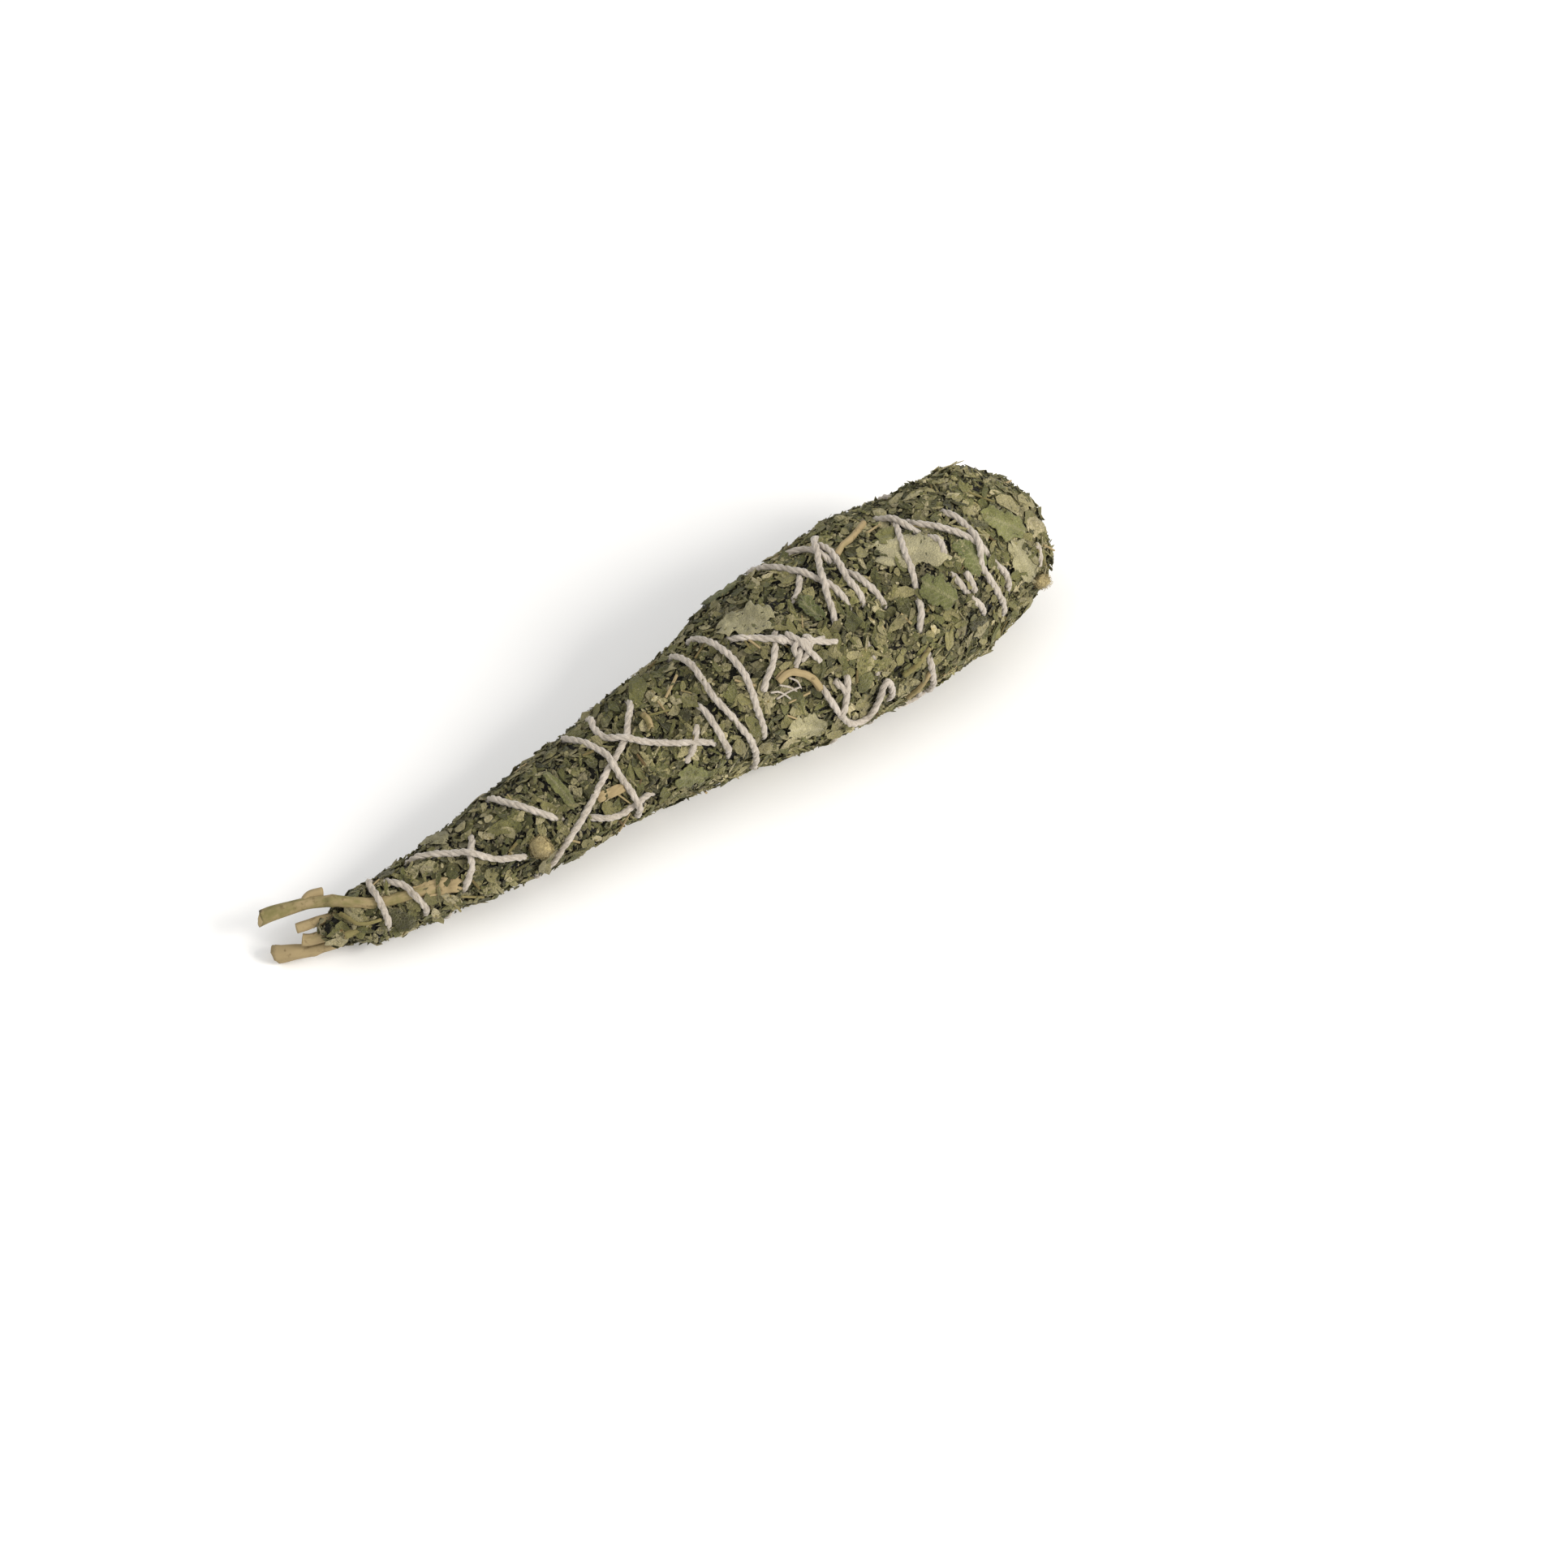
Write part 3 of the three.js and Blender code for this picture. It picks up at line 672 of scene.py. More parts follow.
@dataclass
class MeshParts:
    """Corners, faces, and what is kept on them, of one piece."""

    corners: list[Array] = field(default_factory=list)
    faces: list[Face] = field(default_factory=list)
    uv: list[tuple[float, float]] = field(default_factory=list)
    numbers: dict[str, list[float]] = field(default_factory=dict)
    size: int = 0

    def add(
        self,
        corners: Array,
        faces: Sequence[Face],
        uv: Iterable[tuple[float, float]] | None = None,
        **numbers: Array | float,
    ) -> None:
        """Adds a body.

        Args:
            corners: its corners, in metres.
            faces: its faces, counted from its own first corner.
            uv: one pair for each corner of each face.
            numbers: one number for each corner, or one for all.
        """
        self.corners.append(corners)
        self.faces.extend(tuple(i + self.size for i in face) for face in faces)
        self.uv.extend(uv if uv is not None else ((0.0, 0.0) for face in faces for _ in face))
        for key, value in numbers.items():
            row = self.numbers.setdefault(key, [])
            row.extend([0.0] * (self.size - len(row)))
            row.extend(np.broadcast_to(np.asarray(value, float), (len(corners),)).tolist())
        self.size += len(corners)

    def piece(self, name: str, material: Material) -> Thing:
        """Makes one mesh object of everything added, standing on the scene.

        Args:
            name: its name.
            material: its finish.

        Returns:
            The object.
        """
        corners = np.vstack(self.corners)
        corners[:, 2] = np.maximum(corners[:, 2], FLOOR_GAP * MM)
        mesh = mesh_of(name, corners.tolist(), self.faces)
        mesh.uv_layers.new(name="along").data.foreach_set("uv", np.array(self.uv, "f").ravel())
        for key, row in self.numbers.items():
            row.extend([0.0] * (self.size - len(row)))
            mesh.attributes.new(key, "FLOAT", "POINT").data.foreach_set("value", row)
        mesh.materials.append(material)
        mesh.shade_smooth()
        mesh.update()
        return placed(name, mesh)


def grid_faces(rows: int, columns: int, closed: bool) -> list[Face]:
    """Faces of a grid whose columns may join up, facing out when the columns turn to the left.

    Args:
        rows: rows of corners.
        columns: corners in each row.
        closed: whether the columns join up.

    Returns:
        The faces.
    """
    return [
        tuple((row + r) * columns + (column + c) % columns for r, c in ((0, 0), (0, 1), (1, 1), (1, 0)))
        for row in range(rows - 1)
        for column in range(columns if closed else columns - 1)
    ]


def capped_faces(rows: int, columns: int) -> list[Face]:
    """Faces of a grid that joins up, and of a cone at each end to a point kept after the grid.

    Args:
        rows: rows of corners.
        columns: corners in each row.

    Returns:
        The faces.
    """
    faces = grid_faces(rows, columns, True)
    base, last = rows * columns, (rows - 1) * columns
    for column in range(columns):
        after = (column + 1) % columns
        faces += [(after, column, base), (last + column, last + after, base + 1)]
    return faces


def grid_uv(down: Sequence[float], over: Sequence[float]) -> list[tuple[float, float]]:
    """The UV places of a grid's faces, from its rows' places and its columns'.

    Args:
        down: the rows' places.
        over: the columns' places.

    Returns:
        One pair for each corner of each face.
    """
    return [
        pair
        for a, b in zip(down, down[1:])
        for c, d in zip(over, over[1:])
        for pair in ((a, c), (a, d), (b, d), (b, c))
    ]


def directions(line: Array) -> Array:
    """The direction of travel at each point of a line."""
    way = np.gradient(line, axis=0)
    return way / np.maximum(np.linalg.norm(way, axis=1, keepdims=True), 1e-12)


def across(way: Array, up: Array) -> tuple[Array, Array]:
    """Two directions square to the way: the nearest to up, and the third.

    Args:
        way: directions of travel.
        up: directions off the line.

    Returns:
        Both directions at each point.
    """
    up = up - way * (up * way).sum(axis=1, keepdims=True)
    up /= np.maximum(np.linalg.norm(up, axis=1, keepdims=True), 1e-12)
    return up, np.cross(way, up)


def spokes(up: Array, side: Array, turns: Array) -> Array:
    """Directions off a line at each turn round it."""
    return up[:, None] * np.cos(turns)[None, :, None] + side[:, None] * np.sin(turns)[None, :, None]


def turned_up(way: Array, start: Array) -> Array:
    """An up direction carried along a line without turning about it.

    Args:
        way: directions of travel.
        start: the direction to begin with.

    Returns:
        The up direction at each point.
    """
    ups = [start]
    for direction in way:
        up = ups[-1] - direction * float(ups[-1] @ direction)
        ups.append(up / max(float(np.linalg.norm(up)), 1e-9))
    return np.array(ups[1:])


@np.vectorize
def wobble(x: float, y: float, z: float) -> float:
    """Smooth noise at places given by their three numbers."""
    return noise.noise(Vector((x, y, z)))


def ripple(points: Array, scale: float, seed: float) -> Array:
    """Smooth noise at points in metres; scale is the size of a ripple in millimetres."""
    x, y, z = points.T * (1 / (scale * MM))
    return wobble(x + seed, y - seed, z)


def tube(
    parts: MeshParts,
    line: Array,
    ups: Array,
    reach: Callable[[Array, Array], Array],
    sides: int,
    slant: tuple[float, float] = (0.0, 0.0),
    hollow: float = 0.0,
    **numbers: float,
) -> None:
    """Adds a closed rod whose section may change along it.

    Args:
        parts: where it goes.
        line: its centre line.
        ups: a direction off the line at each point.
        reach: gives the radius for shares along the line and angles round it.
        sides: corners of the section.
        slant: how far each end's cut leans, as a slope.
        hollow: depth of the sunk middle of each cut, in metres.
        numbers: kept on every corner.
    """
    way = directions(line)
    up, side = across(way, ups)
    count = len(line)
    turns = np.linspace(0, math.tau, sides, endpoint=False)
    radius = reach(*np.meshgrid(np.linspace(0, 1, count), turns, indexing="ij"))
    rings = line[:, None] + spokes(up, side, turns) * radius[..., None]
    lean = radius * np.cos(turns)[None]
    for end in (0, -1):
        rings[end] += way[end] * (lean[end] * slant[end])[:, None]
    blocks, cuts = [rings.reshape(-1, 3)], [np.zeros(count * sides)]
    faces = grid_faces(count, sides, True)
    round_mm = math.tau * float(radius.mean()) / MM
    uv = grid_uv(distances(line), [column / sides * round_mm * UV_ROUND for column in range(sides + 1)])
    for end, inward in ((0, 1.0), (count - 1, -1.0)):
        centre = rings[end].mean(axis=0)
        spread = rings[end] - centre
        well = centre + spread * WELL_SHARE + way[end] * inward * hollow
        start = sum(len(block) for block in blocks)
        blocks.append(np.vstack([centre + spread * RIM_SHARE, well, well.mean(axis=0)[None]]))
        cuts.append(np.repeat([0.75, 0.9, 1.0], [sides, sides, 1]))
        for column in range(sides):
            after = (column + 1) % sides
            edges = [(base + after, base + column) for base in (end * sides, start, start + sides)]
            loop = [(*edge, *reversed(inner)) for edge, inner in zip(edges, edges[1:])]
            loop.append((*edges[-1], start + 2 * sides))
            faces += [tuple(reversed(face)) for face in loop] if end else loop
            uv += [(0.0, 0.0)] * sum(len(face) for face in loop)
    parts.add(np.vstack(blocks), faces, uv, cut=np.concatenate(cuts), **numbers)


def show(thing: Thing, slot: Slot, *nodes: str) -> Thing:
    """Hands a finished piece to the frame.

    Args:
        thing: the piece, in place.
        slot: the record's slot of its finish; not used.
        nodes: the CAD nodes that it stands for.

    Returns:
        The piece.
    """
    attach(thing, "root")
    if nodes:
        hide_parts(*nodes)
    LOG.info("%s: %d faces", thing.name, len(thing.data.polygons))
    return thing


# ---------------------------------------------------------------- twine


@dataclass
class Laid:
    """One length of twine as it lies, every half millimetre or so."""

    places: Array
    height: Array
    showing: Array
    line: Array


def softened(row: Array, window: Array) -> Array:
    """A row of numbers, each mixed with its neighbours by the window's shares."""
    return np.convolve(np.pad(row, len(window) // 2, mode="edge"), window, mode="valid")


@dataclass
class Twine:
    """Two lengths of soft three-ply cotton twine, wound round the pack and knotted."""

    shape: PackShape
    finish: Material
    ply_radius: float = 0.48
    ply_offset: float = 0.27
    sides: int = 6
    nose: float = 0.3
    wander: tuple[Triple, ...] = ((0.05, 1.7, 0.0), (0.04, 4.3, 1.0))
    swell: Triple = (0.09, 2.3, 2.1)
    pitch: float = 6.0
    on_top: float = 1.35
    buried: float = -1.0
    squeeze: float = 1.4
    climb: float = 0.5
    slipped_under: float = -1.5
    own_reach: float = 8.0
    lay_step: float = 1.0
    fine_step: float = 0.42
    laid: list[Laid] = field(default_factory=list)

    # From the frayed end at the knot's foot, over the top and the leafy end, to the knot.
    UPPER_ROUTE = (
        (107.2, 46), (108.4, 41), (110, 37), (112, 31), (115, 18), (118, 9), (124, 3), (127, -7),
        (130, -25), (133, -60), (139, -98), (142.3, -125), (143, -170), (143.2, -215), (145.4, -250),
        (144, -275), (144, -302), (146, -316), (147, -331), (148, -345), (150, -360), (152, -376),
        (152.6, -400), (153.2, -430), (156, -460), (160, -485), (166.5, -525), (169.5, -570),
        (170, -610), (168.6, -646), (168, -661), (166, -673), (164, -687), (160, -704),
        (156.4, -717), (154.6, -724), (155, -740), (157.5, -770), (159.5, -800), (160.5, -840),
        (161.5, -900), (164.5, -940), (166.5, -984), (165.8, -1002), (164, -1017), (162.3, -1035),
        (163.8, -1053), (163, -1069), (162, -1076), (161.5, -1095), (160, -1115), (157, -1145),
        (154.3, -1175), (153.6, -1210), (154.5, -1260), (156.5, -1300), (159, -1335), (160, -1366),
        (158, -1380), (155.7, -1394), (155, -1408), (156.3, -1422), (154.6, -1434), (152.6, -1444),
        (150.2, -1462), (149, -1500), (149, -1560), (147.5, -1620), (146.6, -1652), (143.4, -1686),
        (140.5, -1730), (139, -1766), (137.5, -1779), (136, -1790), (134, -1803), (132, -1819),
        (128, -1834), (126, -1870), (125, -1930), (125.5, -1990), (129, -2050), (132.5, -2095),
        (135.2, -2133), (134.4, -2147), (135, -2167), (134, -2185), (132.5, -2230), (132, -2290),
        (132, -2350), (132.5, -2410), (132.3, -2460), (131.8, -2495), (130.5, -2509),
        (126.5, -2529), (124, -2546), (122, -2560), (121, -2620), (121, -2680), (122, -2740),
        (125, -2790), (126.5, -2830), (128, -2856), (130, -2877), (132, -2888), (134, -2900),
        (138, -2915), (140.5, -2940), (140, -3000), (138, -3060), (137, -3100), (134.6, -3132),
        (135.2, -3144), (134.6, -3153, 0.3), (133.8, -3160, 0.5), (132.8, -3159, 0.7),
        (131.8, -3153, 0.9), (130.6, -3145, 1.1), (128.6, -3139, 1.2), (126, -3139.5, 1.2),
        (123.6, -3144, 1.0), (121.7, -3154, 0.7), (120.4, -3165, 0.4), (119.7, -3174), (118.9, -3184),
        (118.5, -3194),
    )  # fmt: skip
    # From the tucked end down to the stems, and back up in closer turns to the knot.
    LOWER_ROUTE = (
        (92, 128), (90, 190), (87, 250), (85, 310), (84, 350), (82, 360), (79, 377), (72, 395),
        (66, 415), (60, 437), (55, 470), (50.5, 510), (47.5, 550), (45.5, 610), (43.5, 680),
        (42, 729), (40, 746), (39, 763), (37, 782), (34.5, 830), (33, 880), (31.5, 920), (28, 960),
        (23, 1020), (21, 1052), (20.2, 1086), (20.2, 1148), (20.7, 1200), (22, 1280), (23.5, 1380),
        (24.2, 1437), (26, 1460), (26.6, 1479), (28, 1508), (28, 1570), (28.3, 1640), (29, 1700),
        (29.5, 1750), (31, 1777), (36, 1805), (40, 1827), (44, 1849), (50, 1869), (52.5, 1900),
        (53, 1940), (52.5, 1990), (51, 2060), (50, 2133), (51, 2154), (55, 2185), (57.5, 2200),
        (60, 2212, -2.5), (65.5, 2228, -2.5), (67.5, 2233), (72, 2242), (78, 2240), (82.5, 2256),
        (84.5, 2290), (82, 2360), (76, 2430), (71, 2467), (70, 2490), (72, 2519), (73.6, 2540),
        (73.8, 2555), (75.4, 2585), (76, 2615),
        (76.5, 2670), (76.5, 2740), (75.8, 2800), (76.5, 2848), (75.2, 2868), (75.6, 2884),
        (80.5, 2905), (86, 2922), (94, 2940), (97.5, 2957), (100.3, 2990), (100.7, 3040),
        (100.3, 3090), (98, 3140), (94, 3185), (93, 3215), (93.5, 3245), (95, 3271), (96, 3300),
        (97, 3317), (97.6, 3360), (97.2, 3440), (96.5, 3520), (97, 3566), (98, 3590), (98, 3631),
        (100, 3655), (101.5, 3673), (103, 3698), (104.2, 3740), (104.2, 3800), (103, 3860),
        (101.8, 3924), (102.8, 3937), (104, 3962), (105, 3990), (104.6, 4017), (105, 4038),
        (106.5, 4062), (108, 4085), (108.3, 4130), (108, 4200), (107.5, 4250), (107, 4290),
        (106.6, 4305), (106.8, 4320), (108.3, 4327), (110, 4332), (112, 4338), (114, 4343),
        (115.4, 4347),
    )  # fmt: skip
    # The main stem's top, which the wraps by the neck lie over.
    UNDER_WRAPS = (
        (19, 19, 0.9), (20, 22, 0.9), (21, 25, 0.9), (22, 28, 0.9), (23, 31, 0.9), (24, 33, 0.9),
        (25, 35, 0.9), (26, 36, 0.9), (27, 37, 0.9), (28, 39, 0.8),
    )  # fmt: skip
    # Where the twine lies in the open, by its running angle. Elsewhere leaf covers it.
    UPPER_SHOWN = (
        (46, 17), (3, -9), (-120, -190), (-238, -288), (-302, -316), (-325, -378), (-440, -520),
        (-540, -590), (-643, -673), (-679, -729), (-800, -900), (-984, -1036), (-1052, -1079),
        (-1130, -1230), (-1366, -1381), (-1388, -1400), (-1414, -1428), (-1500, -1600), (-1766, -1793),
        (-1802, -1834), (-1900, -2010), (-2132, -2186), (-2290, -2400), (-2494, -2569),
        (-2640, -2760), (-2846, -2887), (-3000, -3040), (-3138, -3175),
    )  # fmt: skip
    LOWER_SHOWN = (
        (170, 300), (346, 470), (540, 640), (728, 783), (860, 940), (1048, 1150), (1230, 1330),
        (1436, 1517), (1600, 1700), (1776, 1828), (1838, 1870), (1940, 2010), (2132, 2213),
        (2231, 2243), (2300, 2400), (2480, 2616), (2700, 2780), (2846, 2942), (3040, 3120),
        (3268, 3318), (3400, 3480), (3565, 3652), (3661, 3727), (3800, 3870), (3923, 4040),
        (4130, 4230), (4322, 4347),
    )  # fmt: skip

    def lay(self, route: Sequence[Place], shown: Sequence[tuple[float, float]]) -> Laid:
        """Lays one length over what is laid already.

        Args:
            route: places given along it.
            shown: the runs of angle where it lies in the open.

        Returns:
            The length as it lies.
        """
        places = route_points(route, self.lay_step)
        foot = self.shape.point(places[:, 0], places[:, 1], 0.0) / MM
        angle = places[:, 1]
        open_ = np.zeros(len(places))
        for first, last in shown:
            open_[(angle >= min(first, last)) & (angle <= max(first, last))] = 1.0
        open_ = softened(open_, np.array([1, 2, 3, 2, 1]) / 9)
        height = self.buried + (self.on_top - self.buried) * open_ + places[:, 2]
        skip = math.ceil(self.own_reach / self.lay_step)
        stem = np.array(self.UNDER_WRAPS)
        stem_foot = self.shape.point(stem[:, 0], stem[:, 1], 0.0) / MM
        earlier = np.vstack([stem_foot, *(one.line for one in self.laid), foot])
        tops = np.concatenate([stem[:, 2], *(one.height for one in self.laid), height])
        offset = len(earlier) - len(foot)
        for i in range(len(foot)):
            last = offset + max(i - skip, 0)
            if last and places[i, 2] > self.slipped_under:
                apart = np.linalg.norm(earlier[:last] - foot[i], axis=1)
                near = apart < self.squeeze
                if near.any():
                    over = tops[:last][near] + np.sqrt(self.squeeze**2 - apart[near] ** 2)
                    height[i] = max(height[i], float(over.max()))
            if i:
                run = float(np.linalg.norm(foot[i] - foot[i - 1])) * self.climb
                height[i] = max(height[i], height[i - 1] - run)
            tops[offset + i] = height[i]
        for i in range(len(foot) - 2, -1, -1):
            run = float(np.linalg.norm(foot[i] - foot[i + 1])) * self.climb
            height[i] = max(height[i], height[i + 1] - run)
        return Laid(places, height, open_, foot)

    def drawn(self, one: Laid) -> Laid:
        """The laid length at fine steps, in metres.

        Args:
            one: the length as it was laid.

        Returns:
            The same length, closer set.
        """
        path = self.shape.point(one.places[:, 0], one.places[:, 1], one.height)
        length = distances(path)
        count = int(length[-1] / MM / self.fine_step) + 1
        even = np.linspace(0, length[-1], count)
        fine = [np.interp(even, length, column) for column in one.places.T]
        height = softened(np.interp(even, length, one.height), np.ones(5) / 5)
        line = self.shape.point(fine[0], fine[1], height)
        floor = (self.ply_radius + self.ply_offset + FLOOR_GAP) * MM
        line[:, 2] = np.maximum(line[:, 2], floor)
        showing = np.interp(even, length, one.showing)
        return Laid(np.stack(fine, axis=-1), height, showing, line)

    def strands(
        self, parts: MeshParts, line: Array, ups: Array, showing: Array | float, scale: float = 1.0
    ) -> None:
        """Adds three plies twisted together along a line.

        Args:
            parts: where they go.
            line: the twine's centre line, in metres.
            ups: a direction off the line at each point.
            showing: 1 where it lies in the open.
            scale: size against the twine's own.
        """
        way = directions(line)
        up, side = across(way, ups)
        length = distances(line) / MM
        turn = math.tau * length / (self.pitch * scale)
        count, sides = len(line), self.sides
        turns = np.linspace(0, math.tau, sides, endpoint=False)
        faces = capped_faces(count, sides)
        uv = grid_uv(length * MM, [column / sides for column in range(sides + 1)])
        uv += [(0.0, 0.0)] * (6 * sides)
        kept = np.broadcast_to(np.asarray(showing, float), (count,))
        kept = np.concatenate([np.repeat(kept, sides), kept[[0, -1]]])
        wander = sum(size * np.sin(length * often + start) for size, often, start in self.wander)
        for ply in range(3):
            phase = turn + math.tau * ply / 3
            out = up * np.cos(phase)[:, None] + side * np.sin(phase)[:, None]
            centre = line + out * ((self.ply_offset * scale + wander * 0.5) * MM)[:, None]
            size, often, start = self.swell
            thick = self.ply_radius * scale * (1 + size * np.sin(length * often + start * ply) + wander)
            rings = centre[:, None] + spokes(up, side, turns) * (thick * MM)[:, None, None]
            ends = np.array([centre[0] - way[0] * self.nose * MM, centre[-1] + way[-1] * self.nose * MM])
            parts.add(np.vstack([rings.reshape(-1, 3), ends]), faces, uv, showing=kept)

    def build(self) -> list[Laid]:
        """Lays and makes both lengths.

        Returns:
            Both lengths as they lie, for what is laid round them.
        """
        drawn = []
        for name, route, shown in (
            ("twine_upper", self.UPPER_ROUTE, self.UPPER_SHOWN),
            ("twine_lower", self.LOWER_ROUTE, self.LOWER_SHOWN),
        ):
            self.laid.append(self.lay(route, shown))
            fine = self.drawn(self.laid[-1])
            drawn.append(fine)
            parts = MeshParts()
            self.strands(parts, fine.line, self.shape.outward(fine.places[:, 1]), fine.showing)
            piece = parts.piece(f"{name}_cord", self.finish)
            self.fuzz(piece, name)
            show(piece, Slot.TWINE, name)
        self.knot()
        return drawn

    def fuzz(self, piece: Thing, name: str) -> None:
        """Fine loose fibres on the twine where it lies in the open.

        Args:
            piece: the twine.
            name: what the fibres are called after.
        """
        scatter = Scatter(
            name=f"{name}_fuzz", variants=fibre_shapes(), density=6.0e5, seed=7,
            smallest=(0.8, 0.8, 0.8), largest=(1.9, 1.3, 1.3), tilt=0.9, lift=(-0.05, 0.0), mask="showing",
        )  # fmt: skip
        show(scatter.over(piece, self.finish), Slot.TWINE)

    # The knot's own turns, drawn flat, and the loose ends near it.
    KNOT = (
        ((115, 22, 1.2), (116, 27, 1.5), (117, 31, 1.8), (119.5, 35, 1.9), (121.5, 36, 1.7),
         (123.4, 37, 1.2)),
        ((116.6, 38, 1.4), (116.2, 34, 2.0), (117.2, 31.5, 2.7), (118.6, 32.5, 2.9), (119.2, 36, 2.5),
         (118.4, 40, 1.9), (117, 42, 1.4)),
        ((119.6, 30, 1.3), (120.4, 33, 1.9), (119.4, 37.5, 2.2), (118.2, 41, 1.6)),
    )  # fmt: skip
    TAILS = {
        "twine_tail_over": ((116.6, 23, 1.4), (117.1, 27, 2.4), (117.8, 32, 3.2), (118.6, 38, 3.0),
                            (119.6, 43, 2.2), (120.7, 48, 1.3)),
        "twine_tail_side": ((119.6, 32, 2.1), (121.2, 36, 1.9), (123.2, 39.5, 1.6), (125.6, 42.5, 1.2)),
        "twine_tail_foot": ((117.7, 35, 2.0), (116.6, 39, 1.8), (115.3, 43.5, 1.4)),
    }  # fmt: skip
    LOOSE = (
        ((125.3, 65, 1.0), (124.9, 70, 1.5), (124.1, 78, 1.7), (123, 84, 2.2), (121.8, 88, 2.6)),
        ((122.6, 65, 1.0), (123.3, 69, 1.4), (124.2, 75, 1.5)),
        ((158, 42, 0.9), (158.2, 48, 1.3), (158.6, 55, 0.9)),
        ((179, 56, 0.7), (178.7, 66, 1.1), (178.1, 76, 0.7)),
        ((139.4, 127, 0.9), (142.5, 126, 1.3), (145.5, 123, 0.9)),
        ((92.6, 41, 0.8), (90.6, 54, 1.2), (88.2, 66, 0.8)),
    )  # fmt: skip
    THREADS = (
        ((108.6, 50, 1.3), (110, 52, 1.6), (111.5, 58, 1.7), (112.4, 63, 1.3)),
        ((111, 49, 1.3), (112.8, 54, 1.7), (114.5, 62, 1.5)),
        ((113.4, 48, 1.3), (114.5, 52, 1.8), (115, 58, 1.4)),
        ((109.4, 56, 1.4), (112, 55.5, 1.9), (114.8, 57, 1.5)),
    )

    def cords(
        self, name: str, bundles: Iterable[tuple[Sequence[Sequence[Place]], float]], *nodes: str
    ) -> None:
        """Makes one piece of short lengths of twine.

        Args:
            name: the piece's name.
            bundles: routes of (station, angle, lift) places, and their thickness against the twine's.
            nodes: the CAD nodes that it stands for.
        """
        parts = MeshParts()
        for routes, scale in bundles:
            for route in routes:
                station, angle, lift = route_points(route, self.fine_step).T
                line = self.shape.point(station, angle, lift)
                self.strands(parts, line, self.shape.outward(angle), 1.0, scale)
        show(parts.piece(name, self.finish), Slot.TWINE, *nodes)

    def knot(self) -> None:
        """The flat knot where the two lengths are tied, the loose ends, and frayed threads."""
        self.cords("knot", [(self.KNOT, 0.9)], "twine_knot")
        for name, route in self.TAILS.items():
            self.cords(f"{name}_cord", [([route], 0.9)], name)
        self.cords("twine_loose_ends", [(self.LOOSE, 1.0), (self.THREADS, 0.3)])


# ---------------------------------------------------------------- scattered flakes


def flake_shape(
    rng: random.Random, corners: int, long: float, wide: float, thick: float, curl: float, jag: float
) -> bpy.types.Mesh:
    """A torn bit of dry leaf, about one unit long.

    Args:
        rng: where its chances come from.
        corners: corners of its outline.
        long: its length.
        wide: its width.
        thick: its thickness.
        curl: how far it bends.
        jag: how ragged its outline is.

    Returns:
        A closed mesh of a few dozen faces.
    """
    bend, twist, lean = (rng.uniform(-curl, curl) for _ in range(3))
    start = rng.uniform(0, 6.28)

    def at(share: float, corner: int, reach: float) -> Triple:
        """A place on the bent sheet.

        Args:
            share: how far out it is.
            corner: which corner it is toward.
            reach: that corner's own reach.

        Returns:
            The place.
        """
        turn = start + math.tau * corner / corners
        x = math.cos(turn) * long / 2 * reach * share
        y = math.sin(turn) * wide / 2 * reach * share
        return (x, y, bend * x * x * 2 + twist * x * y * 2 + lean * y * y * 2)

    reaches = [1 + rng.uniform(-jag, jag) for _ in range(corners)]
    outer = [at(1.0, k, reach) for k, reach in enumerate(reaches)]
    middle = [at(0.5, k, reach) for k, reach in enumerate(reaches)]
    wrinkle = [rng.uniform(-0.05, 0.09) for _ in range(corners)]
    top = [(x, y, z + thick * 0.3) for x, y, z in outer]
    ridge = [(x, y, z + thick / 2 + w) for (x, y, z), w in zip(middle, wrinkle)]
    bottom = [(x, y, z - thick * 0.3) for x, y, z in outer]
    points = [*top, *ridge, (0, 0, thick / 2), *bottom, (0, 0, -thick / 2 - 0.02)]
    faces: list[Face] = []
    n = corners
    low = 2 * n + 1
    for k in range(n):
        j = (k + 1) % n
        faces += [(k, j, n + j), (k, n + j, n + k), (n + k, n + j, 2 * n)]
        faces += [(low + k, low + j, j), (low + k, j, k), (low + j, low + k, low + n)]
    return mesh_of("flake", points, faces)


def crumb_shape(rng: random.Random, corners: int) -> bpy.types.Mesh:
    """A crumb of leaf about one unit across, closed, of ten or twelve faces.

    Args:
        rng: where its chances come from.
        corners: corners round it.

    Returns:
        The mesh.
    """
    points = []
    for k in range(corners):
        turn = math.tau * k / corners + rng.uniform(-0.3, 0.3)
        reach = rng.uniform(0.32, 0.62)
        points.append((math.cos(turn) * reach, math.sin(turn) * reach * 0.8, rng.uniform(-0.16, 0.16)))
    for low, high in ((0.1, 0.26), (-0.26, -0.12)):
        points.append((rng.uniform(-0.15, 0.15), rng.uniform(-0.15, 0.15), rng.uniform(low, high)))
    faces = []
    for k in range(corners):
        j = (k + 1) % corners
        faces += [(k, j, corners), (j, k, corners + 1)]
    return mesh_of("crumb", points, faces)


